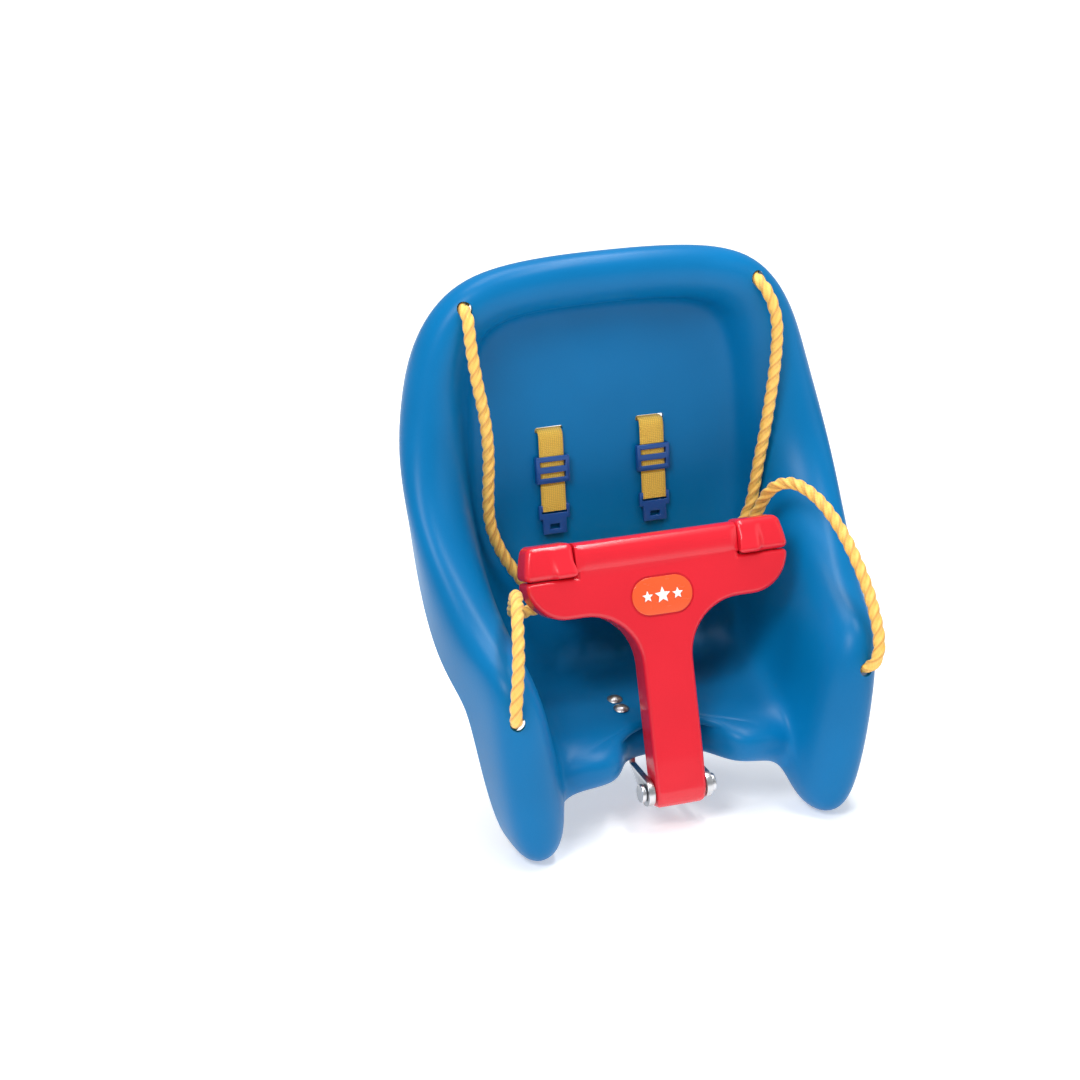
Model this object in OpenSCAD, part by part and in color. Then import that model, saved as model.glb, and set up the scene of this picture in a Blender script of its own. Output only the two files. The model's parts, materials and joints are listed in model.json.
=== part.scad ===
// Toddler bucket swing: a moulded seat shell, a hinged T-shaped safety bar with
// buckle covers, shoulder straps, and a rope on each side that is stored in a hank.
// Frame: +X to the sitter's left, +Y to the back of the seat, +Z up. X = 0 is the
// symmetry plane, and the origin is midway between the upper rope holes, where the
// seat hangs. The modules measure from a point below the front lip; piece() shifts
// them to that origin. The seat is in its stored pose, with its back nearly upright.

/* [Seat shell] */
// Overall width across the rim
shell_w = 428; // [400:1:450]
// Height scale of the shell, in percent of the standard size
shell_h_pct = 100; // [92:1:108]
// Wall thickness of the moulded shell
shell_wall = 4; // [3:0.25:4.5]
// Gap round the rope in its hole
rope_hole_gap = 1; // [0.5:0.25:2]
// How much wider a strap slot is than the webbing
slot_gap = 4; // [2:0.5:8]
// How much higher a strap slot is than the webbing is thick
slot_room = 4.2; // [3:0.1:7]

/* [T-bar] */
// Width of the crossbar
bar_w = 261; // [235:1:268]
// Height of the crossbar
bar_h = 69; // [62:1:78]
// Pivot to the lower edge of the crossbar
bar_reach = 173; // [160:1:190]
// Width of the stem
stem_w = 50; // [42:1:56]
// Thickness of the bar from front to back
bar_t = 28; // [26:0.5:31]
// Lean of the stem back from upright, in degrees
bar_lean = 17.5; // [15:0.5:19]
// Radius of the steel pivot rod
rod_r = 5; // [4:0.25:6]
// Wall of the bushes in the foot of the bar
bush_wall = 2; // [1.5:0.25:3]

/* [Buckle covers] */
// Width of a buckle cover
cover_w = 50; // [46:1:54]
// Height of a buckle cover
cover_h = 31; // [29:1:34]
// Wall of a buckle cover
cover_wall = 3; // [2.5:0.25:3.25]
// Radius of a cover's hinge pin
pin_r = 1.5; // [1.25:0.25:1.75]
// Travel of a release button
button_travel = 2.5; // [1.5:0.25:2.75]

/* [Harness] */
// Width of the shoulder strap webbing
strap_w = 25; // [20:0.5:25]
// Thickness of the webbing
strap_t = 1.8; // [1.2:0.1:2]
// Sideways place of each strap from the middle
strap_x = 52; // [44:1:60]
// Height of the strap slots
slot_z = 338; // [325:1:345]

/* [Rope] */
// Diameter of the twisted rope
rope_d = 12; // [10:0.5:13]
// Bore radius of a hanging ring
ring_bore_r = 11; // [9:0.5:12]

/* [Hidden] */
$fn = 48;
LEFT = -1;
RIGHT = 1;
BLUE = [0.0, 0.42, 0.72];
RED = [0.9, 0.13, 0.2];
YELLOW = [0.98, 0.76, 0.24];
ORANGE = [0.93, 0.36, 0.14];
STEEL = [0.75, 0.76, 0.78];
WHITE = [0.96, 0.96, 0.96];
fit_gap = 0.4;       // gap between moulded pieces that move past each other
run_gap = 0.06;      // radial clearance of a pin that turns in its bore

// --- scale of the shell's control cage
kx = shell_w / 428;
kz = shell_h_pct / 100;
function on_shell(p) = [p.x * kx, p.y, p.z * kz];

// --- places on the shell
pivot_y = 76;
pivot_z = 40 * kz;
notch_x = stem_w / 2 + 9;            // half width of the notch for the stem
upper_hole = on_shell([147, 240, 478]);
lower_hole = on_shell([171, 36, 152]);
hang_point = [0, upper_hole.y, upper_hole.z];
panel_low = [0, 266.4, 236 * kz];      // the back panel's front face behind the straps
panel_high = [0, 277.9, slot_z];
panel_tilt = atan2(panel_high.y - panel_low.y, panel_high.z - panel_low.z);

// --- the T-bar's own frame: origin at the pivot, +Z up the stem, front face at -Y
bar_front = 17.5;                    // pivot to the front face
bar_back = bar_t - bar_front;
bar_top = bar_reach + bar_h;
foot_r = 16;
fillet_r = 52;
cover_low = bar_top - cover_h;
cover_in = bar_w / 2 - cover_w;
core_gap = cover_wall + fit_gap;
cover_lift = 1;                       // under a cover, so its back corner swings past the bar
core_front = bar_front - cover_wall - 3.2;
core_back = bar_back - 3.5;
pin_z = bar_top - 9;
pin_y = bar_back - 6;
button_w = 16;
button_h = 9;
button_proud = 2.8;
button_z = cover_low + 9;
button_depth = 6.5 + button_travel;
socket_w = 26;
socket_h = 5;
socket_z = cover_low + 9;
socket_depth = 8;
spring_r = 2.2;

// --- the hanks: flat oval coils, tilted so that their layers lie edge on to the front
hank_mid = [23, 211, 201];
hank_tilt = 22.7;
hank_straight = 116;                 // between the centres of the round ends
hank_turn_r = 2 * rope_d;            // bend of the inner turn
hank_in_r = hank_turn_r - rope_d / 2;
hank_out_r = hank_in_r + 2 * rope_d;
hank_t = 2 * rope_d;
ring_t = 5;
ring_wall = 4.5;

// A finished piece in its own tint, placed with the origin at the hang line.
module piece(tint) {
    color(tint) translate(-hang_point) children();
}

module mirrored(side) {
    if (side < 0) mirror([1, 0, 0]) children();
    else children();
}

// ===== seat shell: one bicubic surface over a cage of ribs that run from the middle
// of the seat over the rim to the end of the turned-back skirt. Rib 0 is at the top
// centre, the last rib at the middle of the front lip; the other side is mirrored.
RIBS = [
    // middle, panel, panel, corner, wall, rim inside, rim face, rim outside, skirt, skirt end
    [[0,284,400],[0,286,425],[0,287,445],[0,284,461],[0,270,467],[0,251,469],[0,238,488],[0,243,511],
     [0,261,513],[0,276,504]],
    [[0,284,392],[25,286,422],[50,287,444],[62,284,460],[66,270,466],[70,251,468],[73,238,487],
     [76,243,510],[77,261,512],[75,276,503]],
    [[0,284,375],[40,286,405],[84,287,436],[108,284,451],[116,270,457],[122,251,460],[136,238,477],
     [146,243,497],[149,261,500],[145,276,491]],
    [[0,284,345],[54,285,370],[102,285,402],[130,281,420],[138,267,424],[147,249,428],[167,237,438],
     [182,242,449],[187,261,451],[183,276,444]],
    [[0,281,310],[60,282,330],[110,282,355],[136,277,368],[145,261,372],[156,243,376],[180,230,384],
     [197,237,391],[202,257,394],[197,272,390]],
    [[0,274,272],[60,275,288],[112,275,304],[138,270,314],[147,252,318],[159,230,322],[186,215,328],
     [208,222,337],[213,242,343],[203,258,342]],
    [[0,271,232],[60,271,242],[112,269,252],[138,261,260],[148,238,268],[161,203,276],[186,186,282],
     [209,189,289],[214,208,293],[206,230,288]],
    [[0,269,190],[60,267,194],[108,261,200],[133,247,208],[146,205,222],[158,157,236],[180,144,244],
     [203,148,246],[209,166,235],[207,190,215]],
    [[0,262,150],[60,258,150],[106,248,154],[130,230,162],[144,175,185],[153,111,204],[174,99,211],
     [195,102,206],[203,121,194],[204,148,171]],
    [[0,235,122],[60,228,120],[104,215,120],[127,190,126],[139,130,158],[147,67,182],[165,53,194],
     [184,54,194],[192,72,182],[197,106,151]],
    [[0,200,111],[60,190,110],[102,175,110],[123,150,114],[134,95,136],[141,48,154],[160,33,168],
     [181,34,169],[188,54,159],[193,97,134]],
    [[0,165,104],[60,155,103],[100,135,101],[120,110,103],[129,75,110],[136,42,116],[157,31,120],
     [179,34,118],[185,56,112],[187,92,100]],
    [[0,134,98],[60,120,97],[98,105,95],[117,88,92],[125,66,80],[130,42,66],[150,30,64],[171,33,62],
     [177,56,60],[178,87,52]],
    [[0,131,97],[58,105,93],[96,92,90],[115,80,82],[122,66,60],[126,46,30],[140,34,8],[157,38,0],
     [162,58,0],[162,84,5]],
    [[0,130,96],[56,96,91],[94,84,87],[112,76,76],[119,70,56],[122,62,36],[124,61,16],[128,70,4],
     [134,82,2],[139,92,6]],
    [[0,129,95],[56,102,91],[90,77,85],[107,74,74],[114,76,60],[117,81,49],[119,86,40],[121,91,34],
     [124,95,33],[127,98,36]],
    [[0,129,94],[54,98,90],[78,72,84],[92,70,75],[98,73,66],[100,77,60],[101,81,56],[102,85,54],
     [103,89,54],[104,92,55]],
    [[0,129,93],[50,102,89],[56,74,83],[57,66,74],[59,66,67],[59,69,62],[59,73,59],[59,77,58],
     [59,80,58],[59,83,59]],
    [[0,130,93],[40,124,90],[43,119,83],[43,117,74],[43,117,67],[43,119,62],[44,121,59],[46,124,58],
     [48,127,58],[50,130,59]],
    [[0,131,93],[0,127,91],[0,121,84],[0,119,77],[0,119,70],[0,121,65],[0,123,62],[0,126,60],[0,129,60],
     [0,132,61]]];
LAST = len(RIBS) - 1;
COLUMNS = len(RIBS[0]) - 1;
AROUND = 2 * LAST;
NOTCH_RIB = LAST - 1;
steps_around = 2;    // quads along each cage edge
steps_across = 3;
rings = AROUND * steps_around;
rows = COLUMNS * steps_across;

// A point of the cage, wrapped round the rim, mirrored over X = 0 and run on past the skirt.
function cage_point(m, j) = let(p = RIBS[m][j])
    [m == NOTCH_RIB ? p.x + (notch_x - 34) : p.x * kx, p.y, p.z * kz];
function cage(i, j) = let(q = (i % AROUND + AROUND) % AROUND,
        m = q <= LAST ? q : AROUND - q, s = (q <= LAST ? 1 : -1) * (j < 0 ? -1 : 1),
        p = j > COLUMNS ? 2 * cage_point(m, COLUMNS) - cage_point(m, COLUMNS - 1)
            : cage_point(m, abs(j)))
    [s * (j == 0 ? 0 : p.x), p.y, p.z];
function basis(t) = [(1 - t) ^ 3, 3 * t ^ 3 - 6 * t ^ 2 + 4, -3 * t ^ 3 + 3 * t ^ 2 + 3 * t + 1,
    t ^ 3] / 6;
function slope(t) = [-3 * (1 - t) ^ 2, 9 * t ^ 2 - 12 * t, -9 * t ^ 2 + 6 * t + 3, 3 * t ^ 2] / 6;
function total(list, k = 0) = k == len(list) - 1 ? list[k] : list[k] + total(list, k + 1);
function blend(i, j, fu, fv) =
    total([for (a = [0:3]) for (b = [0:3]) fu[a] * fv[b] * cage(i - 1 + a, j - 1 + b)]);
function unit(v) = v / norm(v);
function place(a, b) = let(u = a / steps_around, v = b / steps_across, i = floor(u),
        j = min(floor(v), COLUMNS - 1), tu = u - i, tv = v - j)
    [blend(i, j, basis(tu), basis(tv)),
        unit(cross(blend(i, j, basis(tu), slope(tv)), blend(i, j, slope(tu), basis(tv))))];
GRID = [for (a = [0:rings - 1]) [for (b = [0:rows]) place(a, b)]];
// On the middle line the two sides share a point, so its normal is that of its neighbours.
function normal(a, b) = b > 0 ? GRID[a][b][1]
    : unit(GRID[a][1][1] + GRID[(rings - a) % rings][1][1]);
FRONT = [for (a = [0:rings - 1]) for (b = [0:rows]) GRID[a][b][0]];
BACK = [for (a = [0:rings - 1]) for (b = [0:rows]) GRID[a][b][0] - shell_wall * normal(a, b)];
function index(a, b) = (b > 0 ? a % rings : min(a % rings, (rings - a % rings) % rings))
    * (rows + 1) + b;

module shell_skin() {
    back = rings * (rows + 1);
    quads = [for (a = [0:rings - 1]) for (b = [0:rows - 1])
        [index(a, b), index(a + 1, b), index(a + 1, b + 1), index(a, b + 1)]];
    edge = [for (a = [0:rings - 1]) [index(a, rows), index(a + 1, rows)]];
    polyhedron(points = concat(FRONT, BACK), faces = concat(
        [for (q = quads) if (q[0] != q[1]) [q[0], q[1], q[2]]],
        [for (q = quads) [q[0], q[2], q[3]]],
        [for (q = quads) if (q[0] != q[1]) [q[0] + back, q[2] + back, q[1] + back]],
        [for (q = quads) [q[0] + back, q[3] + back, q[2] + back]],
        [for (e = edge) [e[0], e[1], e[1] + back]],
        [for (e = edge) [e[0], e[1] + back, e[0] + back]]));
}

module seat_shell() {
    piece(BLUE) difference() {
        shell_skin();
        for (side = [LEFT, RIGHT]) mirrored(side) {
            translate(upper_hole) rotate([90, 0, 0])
                cylinder(r = rope_d / 2 + rope_hole_gap, h = 34, center = true);
            translate(lower_hole) rotate([90, 0, 14])
                cylinder(r = rope_d / 2 + rope_hole_gap, h = 34, center = true);
            translate([strap_x, panel_high.y, slot_z])
                cube([strap_w + slot_gap, 30, strap_t + slot_room], center = true);
        }
        for (p = BOLTS) bolt_frame(p) cylinder(r = bolt_r + 0.3, h = 30, center = true);
    }
}

// ===== pivot bracket: a plate bolted under the seat floor, with two ears for the rod
ear_t = 6;
ear_x = stem_w / 2 + 1.2;            // inner face of an ear
ear_r = 13;
floor_tilt = 8.5;                    // slope of the seat floor over the plate
plate_t = 4;
plate_y = 141;
plate_z = 99.6 * kz;
plate_w = 2 * (ear_x + ear_t) + 26;
plate_d = 34;
bolt_r = 3;
BOLTS = [[-34, -8], [34, -8], [-34, 9], [34, 9]];

module plate_frame() {
    translate([0, plate_y, plate_z]) rotate([floor_tilt, 0, 0]) children();
}

module bolt_frame(p) {
    plate_frame() translate([p.x, p.y, 0]) children();
}

module pivot_bracket() {
    piece(STEEL) difference() {
        union() {
            plate_frame() translate([-plate_w / 2, -plate_d / 2, -plate_t])
                cube([plate_w, plate_d, plate_t]);
            for (side = [LEFT, RIGHT]) mirrored(side) translate([ear_x, 0, 0])
                rotate([90, 0, 90]) linear_extrude(ear_t) {
                    translate([pivot_y, pivot_z]) circle(r = ear_r);
                    polygon([[pivot_y - 2, pivot_z - ear_r + 0.2],
                        [plate_y + 12, plate_z - 22], [plate_y + 14, plate_z - 1.5],
                        [plate_y - 14, plate_z - 5], [plate_y - 26, pivot_z + ear_r + 1],
                        [pivot_y, pivot_z + ear_r]]);
                }
        }
        rod_bore(rod_r + 0.02);
        for (p = BOLTS) bolt_frame(p) cylinder(r = bolt_r + 0.3, h = 30, center = true);
    }
}

module rod_bore(r) {
    translate([0, pivot_y, pivot_z]) rotate([0, 90, 0]) cylinder(r = r, h = 120, center = true);
}

module bracket_bolts() {
    piece(STEEL) for (p = BOLTS) bolt_frame(p) {
        translate([0, 0, -plate_t - 3]) cylinder(r = bolt_r, h = plate_t + 9);
        translate([0, 0, shell_wall + 1.2]) intersection() {
            translate([0, 0, -8.5]) sphere(r = 11.5);
            cylinder(r = 8, h = 6);
        }
        translate([0, 0, -plate_t - 4.8]) cylinder(r = 5.6, h = 4.6, $fn = 6);
    }
}

rod_half = ear_x + ear_t + 4;
cap_t = 3.2;

module pivot_rod() {
    piece(STEEL) translate([-rod_half, pivot_y, pivot_z]) rotate([0, 90, 0])
        cylinder(r = rod_r, h = 2 * rod_half);
}

module rod_caps() {
    piece(STEEL) for (side = [LEFT, RIGHT]) mirrored(side)
        translate([rod_half - cap_t, pivot_y, pivot_z]) rotate([0, 90, 0])
            difference() {
                cylinder(r = rod_r + 4, h = cap_t + 1.4);
                translate([0, 0, -1]) cylinder(r = rod_r, h = cap_t + 1);
            }
}

// ===== T-bar
module bar_frame() {
    translate([0, pivot_y, pivot_z]) rotate([-bar_lean, 0, 0]) children();
}

// Half of the front outline, from the middle of the foot round to the top.
module bar_outline() {
    half = bar_w / 2;
    end_r = 38;
    for (s = [LEFT, RIGHT]) mirror([s < 0 ? 1 : 0, 0]) {
        square([stem_w / 2, bar_top - 4]);
        difference() {
            translate([0, bar_reach - fillet_r]) square([stem_w / 2 + fillet_r, fillet_r + 1]);
            translate([stem_w / 2 + fillet_r, bar_reach - fillet_r]) circle(r = fillet_r);
        }
        translate([0, bar_reach]) square([half - end_r, bar_h]);
        intersection() {
            translate([half - end_r, bar_reach + end_r]) circle(r = end_r);
            translate([0, bar_reach]) square([half, end_r]);
        }
        polygon([[half - end_r - 1, bar_reach + end_r], [half, bar_reach + end_r],
            [half - 7, bar_top - 6], [half - 13, bar_top], [half - end_r - 1, bar_top]]);
    }
}

module bar_slab(back, front) {
    rotate([90, 0, 0]) translate([0, 0, -back]) linear_extrude(back + front) bar_outline();
}

module core_box(grow) {
    long = cover_w - 2 * core_gap - 5 + 2 * grow;
    front = -core_front - grow;
    back = core_back + grow;
    low = cover_low - 2;
    high = bar_top - core_gap + grow;
    bevel = 1.6;
    translate([cover_in + core_gap - grow, 0, 0]) rotate([90, 0, 90]) linear_extrude(long)
        polygon([[front, low], [back, low], [back, high - (grow > 0 ? 0 : bevel)],
            [back - (grow > 0 ? 0 : bevel), high], [front, high]]);
}

module tbar() {
    piece(RED) bar_frame() difference() {
        union() {
            difference() {
                bar_slab(bar_back, bar_front);
                for (side = [LEFT, RIGHT]) mirrored(side)
                    translate([cover_in, -50, cover_low]) cube([cover_w + 10, 100, 100]);
                translate([-50, -50, -50]) cube([100, 100, 50]);
            }
            for (side = [LEFT, RIGHT]) mirrored(side) core_box(0);
            rotate([0, 90, 0]) cylinder(r = foot_r, h = stem_w, center = true);
        }
        rotate([0, 90, 0]) cylinder(r = rod_r + bush_wall, h = stem_w + 1, center = true);
        for (side = [LEFT, RIGHT]) mirrored(side) {
            translate([cover_in, pin_y, pin_z]) rotate([0, 90, 0]) cylinder(r = pin_r, h = 60);
            translate([button_x - socket_w / 2, core_back - socket_depth, socket_z - socket_h / 2])
                cube([socket_w, socket_depth + 1, socket_h]);
            translate([button_x - button_w / 2 - fit_gap, -core_front - 1,
                button_z - button_h / 2 - fit_gap])
                cube([button_w + 2 * fit_gap, button_depth + 1, button_h + 2 * fit_gap]);
        }
        badge_pill(badge_recess, 0.3, 10);
    }
}
button_x = cover_in + (cover_w - 5) / 2;

module foot_bushes() {
    piece(WHITE) bar_frame() for (side = [LEFT, RIGHT]) mirrored(side)
        rotate([0, 90, 0]) difference() {
            union() {
                translate([0, 0, stem_w / 2 - 16]) cylinder(r = rod_r + bush_wall, h = 16);
                translate([0, 0, stem_w / 2]) cylinder(r = rod_r + bush_wall + 3, h = 0.8);
            }
            cylinder(r = rod_r + run_gap, h = 60);
        }
}

// ===== badge
badge_w = 60;
badge_h = 35;
badge_z = bar_reach + 11;
badge_recess = 1;
badge_proud = 0.8;

module badge_pill(depth, grow, out) {
    r = badge_h / 2 + grow;
    translate([0, -bar_front + depth, badge_z]) rotate([90, 0, 0]) linear_extrude(depth + out) {
        for (s = [LEFT, RIGHT]) translate([s * (badge_w - badge_h) / 2, 0]) circle(r = r);
        square([badge_w - badge_h, 2 * r], center = true);
    }
}

module tbar_badge() {
    piece(ORANGE) bar_frame() badge_pill(badge_recess, 0, badge_proud);
}

module star(r) {
    linear_extrude(1) polygon([for (k = [0:9]) let(q = k % 2 == 0 ? r : 0.45 * r)
        [q * sin(36 * k), q * cos(36 * k)]]);
}

module badge_stars() {
    piece(WHITE) bar_frame()
        for (k = [-1:1]) translate([15 * k, -bar_front - badge_proud, badge_z])
            rotate([90, 0, 0]) star(k == 0 ? 8 : 5.5);
}

// ===== buckle covers, hinged on a pin across the top of each end of the crossbar
module buckle_cover(side) {
    piece(RED) bar_frame() mirrored(side) difference() {
        intersection() {
            bar_slab(bar_back, bar_front);
            translate([cover_in + fit_gap, -50, cover_low + cover_lift]) cube([cover_w + 10, 100, 100]);
        }
        core_box(fit_gap);
        translate([cover_in + cover_wall, -core_front - 3, cover_low - 5])
            cube([cover_w - 2 * cover_wall - 4.2, 60, bar_top - cover_low + 5 - cover_wall]);
        translate([cover_in, pin_y, pin_z]) rotate([0, 90, 0])
            cylinder(r = pin_r + run_gap, h = cover_w + 10);
    }
}

module cover_pins() {
    piece(STEEL) bar_frame() for (side = [LEFT, RIGHT]) mirrored(side)
        translate([cover_in + 0.8, pin_y, pin_z]) rotate([0, 90, 0])
            cylinder(r = pin_r, h = cover_w - 7);
}

module release_button(side) {
    piece(BLUE) bar_frame() mirrored(side)
        translate([button_x - button_w / 2, -core_front - button_proud, button_z - button_h / 2])
            cube([button_w, button_proud + 4, button_h]);
}

module button_spring(side) {
    piece(STEEL) bar_frame() mirrored(side)
        translate([button_x, -core_front + 4, button_z]) rotate([-90, 0, 0])
            difference() {
                cylinder(r = spring_r, h = button_depth - 4);
                translate([0, 0, -1]) cylinder(r = spring_r - 0.7, h = button_depth);
            }
}

// ===== shoulder straps, hanging down the back panel
strap_off = 4.2;                      // middle of the webbing to the panel
strap_end = 262;                      // height where the webbing meets its tongue
adjuster_z = 300;
adjuster_w = strap_w + 9;
adjuster_h = 26;
adjuster_t = 6.4;

module panel_frame(z) {
    translate([0, panel_high.y, slot_z]) rotate([-panel_tilt, 0, 0])
        translate([0, 0, z - slot_z]) children();
}

function on_panel(y, z) = [panel_high.y + y * cos(panel_tilt) + z * sin(panel_tilt),
    slot_z - y * sin(panel_tilt) + z * cos(panel_tilt)];

module shoulder_strap(side) {
    near = -strap_off - strap_t / 2;
    far = near + strap_t;
    half = strap_t / 2;
    end = panel_high.y + shell_wall + 2.5 + half;
    piece(YELLOW) mirrored(side) translate([strap_x - strap_w / 2, 0, 0])
        rotate([90, 0, 90]) linear_extrude(strap_w) polygon([
            on_panel(near, strap_end - slot_z), on_panel(far, strap_end - slot_z),
            on_panel(far, (far * sin(panel_tilt) - half) / cos(panel_tilt)),
            [end, slot_z - half], [end, slot_z + half],
            on_panel(near, (near * sin(panel_tilt) + half) / cos(panel_tilt))]);
}

module rear_strap_run() {
    piece(YELLOW) translate([-strap_x - strap_w / 2, panel_high.y + shell_wall + 2.5, slot_z - 12])
        cube([2 * strap_x + strap_w, strap_t, 14]);
}

module strap_adjuster(side) {
    piece(BLUE) mirrored(side) translate([strap_x, 0, 0]) panel_frame(adjuster_z)
        translate([0, -strap_off - 0.4, 0]) difference() {
            cube([adjuster_w, adjuster_t, adjuster_h], center = true);
            translate([0, 0.4, 0])
                cube([strap_w + 1, strap_t + 1, adjuster_h + 2], center = true);
            for (z = [-5.5, 5.5]) translate([0, -3, z])
                cube([strap_w + 1, adjuster_t, 5], center = true);
        }
}

tongue_w = 24;
tongue_h = 26;
tongue_t = 4;

module buckle_tongue(side) {
    piece(BLUE) mirrored(side) translate([strap_x, 0, 0]) panel_frame(strap_end)
        translate([0, -strap_off, 0]) rotate([90, 0, 0])
            linear_extrude(tongue_t, center = true) difference() {
                union() {
                    translate([-strap_w / 2 - 3, -11]) square([strap_w + 6, 14]);
                    translate([-tongue_w / 2, -tongue_h]) square([tongue_w, tongue_h - 8]);
                }
                translate([-strap_w / 2 - 0.2, -5.5]) square([strap_w + 0.4, 2.6]);
                translate([-5, -tongue_h + 5]) square([10, 5]);
            }
}

// ===== rope legs: each is a tube along points chosen by hand
BACK_LEG = [[147,257,478],[147,248,478],[147,238,477],[150,228,471],[154,222,460],[159,220,440],
    [160,221,415],[158,221,390],[154,221,360],[149,221,328],[144,222,300],[140,222,275],
    [136,224,252],[128,230,232],[113,238,215],[97,246,206],[81,251,204]];
BACK_LEG_LEFT = [[-147,257,478],[-147,248,478],[-147,238,477],[-147,229,471],[-147,226,458],
    [-145,226,440],[-140,226,408],[-134,228,380],[-130,230,352],[-128,234,322],[-128,237,292],
    [-126,239,266],[-119,240,244],[-110,241,226],[-99,242,209],[-87,242,193],[-74,240,180],
    [-57,238,172],[-35,237,170]];
FRONT_LEG = [[167,53,152],[169,45,152],[172,36,153],[175,27,157],[179,24,166],[182,28,182],
    [182,38,202],[180,52,225],[175,70,250],[169,90,272],[161,112,290],[153,132,299],
    [146,148,301],[138,162,296],[132,174,284],[127,184,264],[119,190,243],[110,189,230],
    [97,184,223],[81,180,220]];
FRONT_LEG_LEFT = [[-167,53,152],[-169,45,152],[-172,36,153],[-175,27,157],[-176,25,168],
    [-173,28,188],[-169,36,212],[-165,48,232],[-160,64,246],[-154,82,251],[-149,100,247],
    [-144,118,234],[-140,134,218],[-133,149,209],[-122,159,204],[-105,167,203],[-84,172,205],
    [-60,175,208],[-35,176,209]];
tube_sides = 10;

function tangent(path, i) = unit(path[min(i + 1, len(path) - 1)] - path[max(i - 1, 0)]);
function ring_of(path, i) = let(t = tangent(path, i), a = unit(cross(t, [0.3, 0.2, 0.93])),
        b = cross(t, a))
    [for (k = [0:tube_sides - 1]) let(q = 360 * k / tube_sides)
        path[i] + rope_d / 2 * (a * cos(q) + b * sin(q))];

module rope_leg(route) {
    path = [for (p = route) on_shell(p)];
    n = len(path);
    s = tube_sides;
    piece(YELLOW) polyhedron(points = [for (i = [0:n - 1]) each ring_of(path, i)],
        faces = concat([[for (k = [0:s - 1]) k]],
            [for (i = [0:n - 2]) for (k = [0:s - 1])
                [i * s + k, (i + 1) * s + k, (i + 1) * s + (k + 1) % s, i * s + (k + 1) % s]],
            [[for (k = [s - 1:-1:0]) (n - 1) * s + k]]));
}

module knot(p) {
    piece(YELLOW) translate(on_shell(p)) rotate([90, 0, 0]) rotate_extrude() {
        intersection() {
            circle(r = 13);
            translate([0, -11]) square([13, 22]);
        }
    }
}

module hank_frame() {
    translate(hank_mid) rotate([-hank_tilt, 0, 0]) children();
}

module oval(r) {
    for (s = [-1, 1]) translate([s * hank_straight / 2, 0]) circle(r = r);
    square([hank_straight, 2 * r], center = true);
}

module rope_hank(side) {
    piece(YELLOW) hank_frame() translate([0, 0, side < 0 ? -hank_t : 0])
        linear_extrude(hank_t) difference() {
            oval(hank_out_r);
            oval(hank_in_r);
        }
}

// The ring stands in the coil's slot, threaded on the strand that changes layer.
module hanging_ring(side) {
    piece(STEEL) hank_frame() translate([side * 10, -2.3, side * hank_t / 2])
        rotate([0, 90, 0]) rotate_extrude() translate([ring_bore_r, -ring_t / 2])
            square([ring_wall, ring_t]);
}

module hank_tie(side) {
    t = 1.2;
    piece(WHITE) hank_frame() translate([side * 50 - 3, 0, 0]) difference() {
        translate([0, hank_in_r - t, -hank_t - t])
            cube([6, hank_out_r - hank_in_r + 2 * t, 2 * hank_t + 2 * t]);
        translate([-1, hank_in_r, -hank_t]) cube([8, hank_out_r - hank_in_r, 2 * hank_t]);
    }
}

seat_shell();
pivot_bracket();
bracket_bolts();
pivot_rod();
rod_caps();
tbar();
foot_bushes();
tbar_badge();
badge_stars();
buckle_cover(LEFT);  // left_buckle_cover
buckle_cover(RIGHT);  // right_buckle_cover
cover_pins();
release_button(LEFT);  // left_release_button
release_button(RIGHT);  // right_release_button
button_spring(LEFT);  // left_button_spring
button_spring(RIGHT);  // right_button_spring
shoulder_strap(LEFT);  // left_shoulder_strap
shoulder_strap(RIGHT);  // right_shoulder_strap
rear_strap_run();
strap_adjuster(LEFT);  // left_strap_adjuster
strap_adjuster(RIGHT);  // right_strap_adjuster
buckle_tongue(LEFT);  // left_buckle_tongue
buckle_tongue(RIGHT);  // right_buckle_tongue
rope_leg(BACK_LEG_LEFT);  // left_rope_back_leg
rope_leg(BACK_LEG);  // right_rope_back_leg
rope_leg(FRONT_LEG_LEFT);  // left_rope_front_leg
rope_leg(FRONT_LEG);  // right_rope_front_leg
rope_hank(LEFT);  // left_rope_hank
rope_hank(RIGHT);  // right_rope_hank
knot([-147, 260, 478]);  // left_upper_knot
knot([147, 260, 478]);  // right_upper_knot
knot([-167, 50, 152]);  // left_lower_knot
knot([167, 50, 152]);  // right_lower_knot
hanging_ring(LEFT);  // left_hanging_ring
hanging_ring(RIGHT);  // right_hanging_ring
hank_tie(LEFT);  // left_hank_tie
hank_tie(RIGHT);  // right_hank_tie
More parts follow.
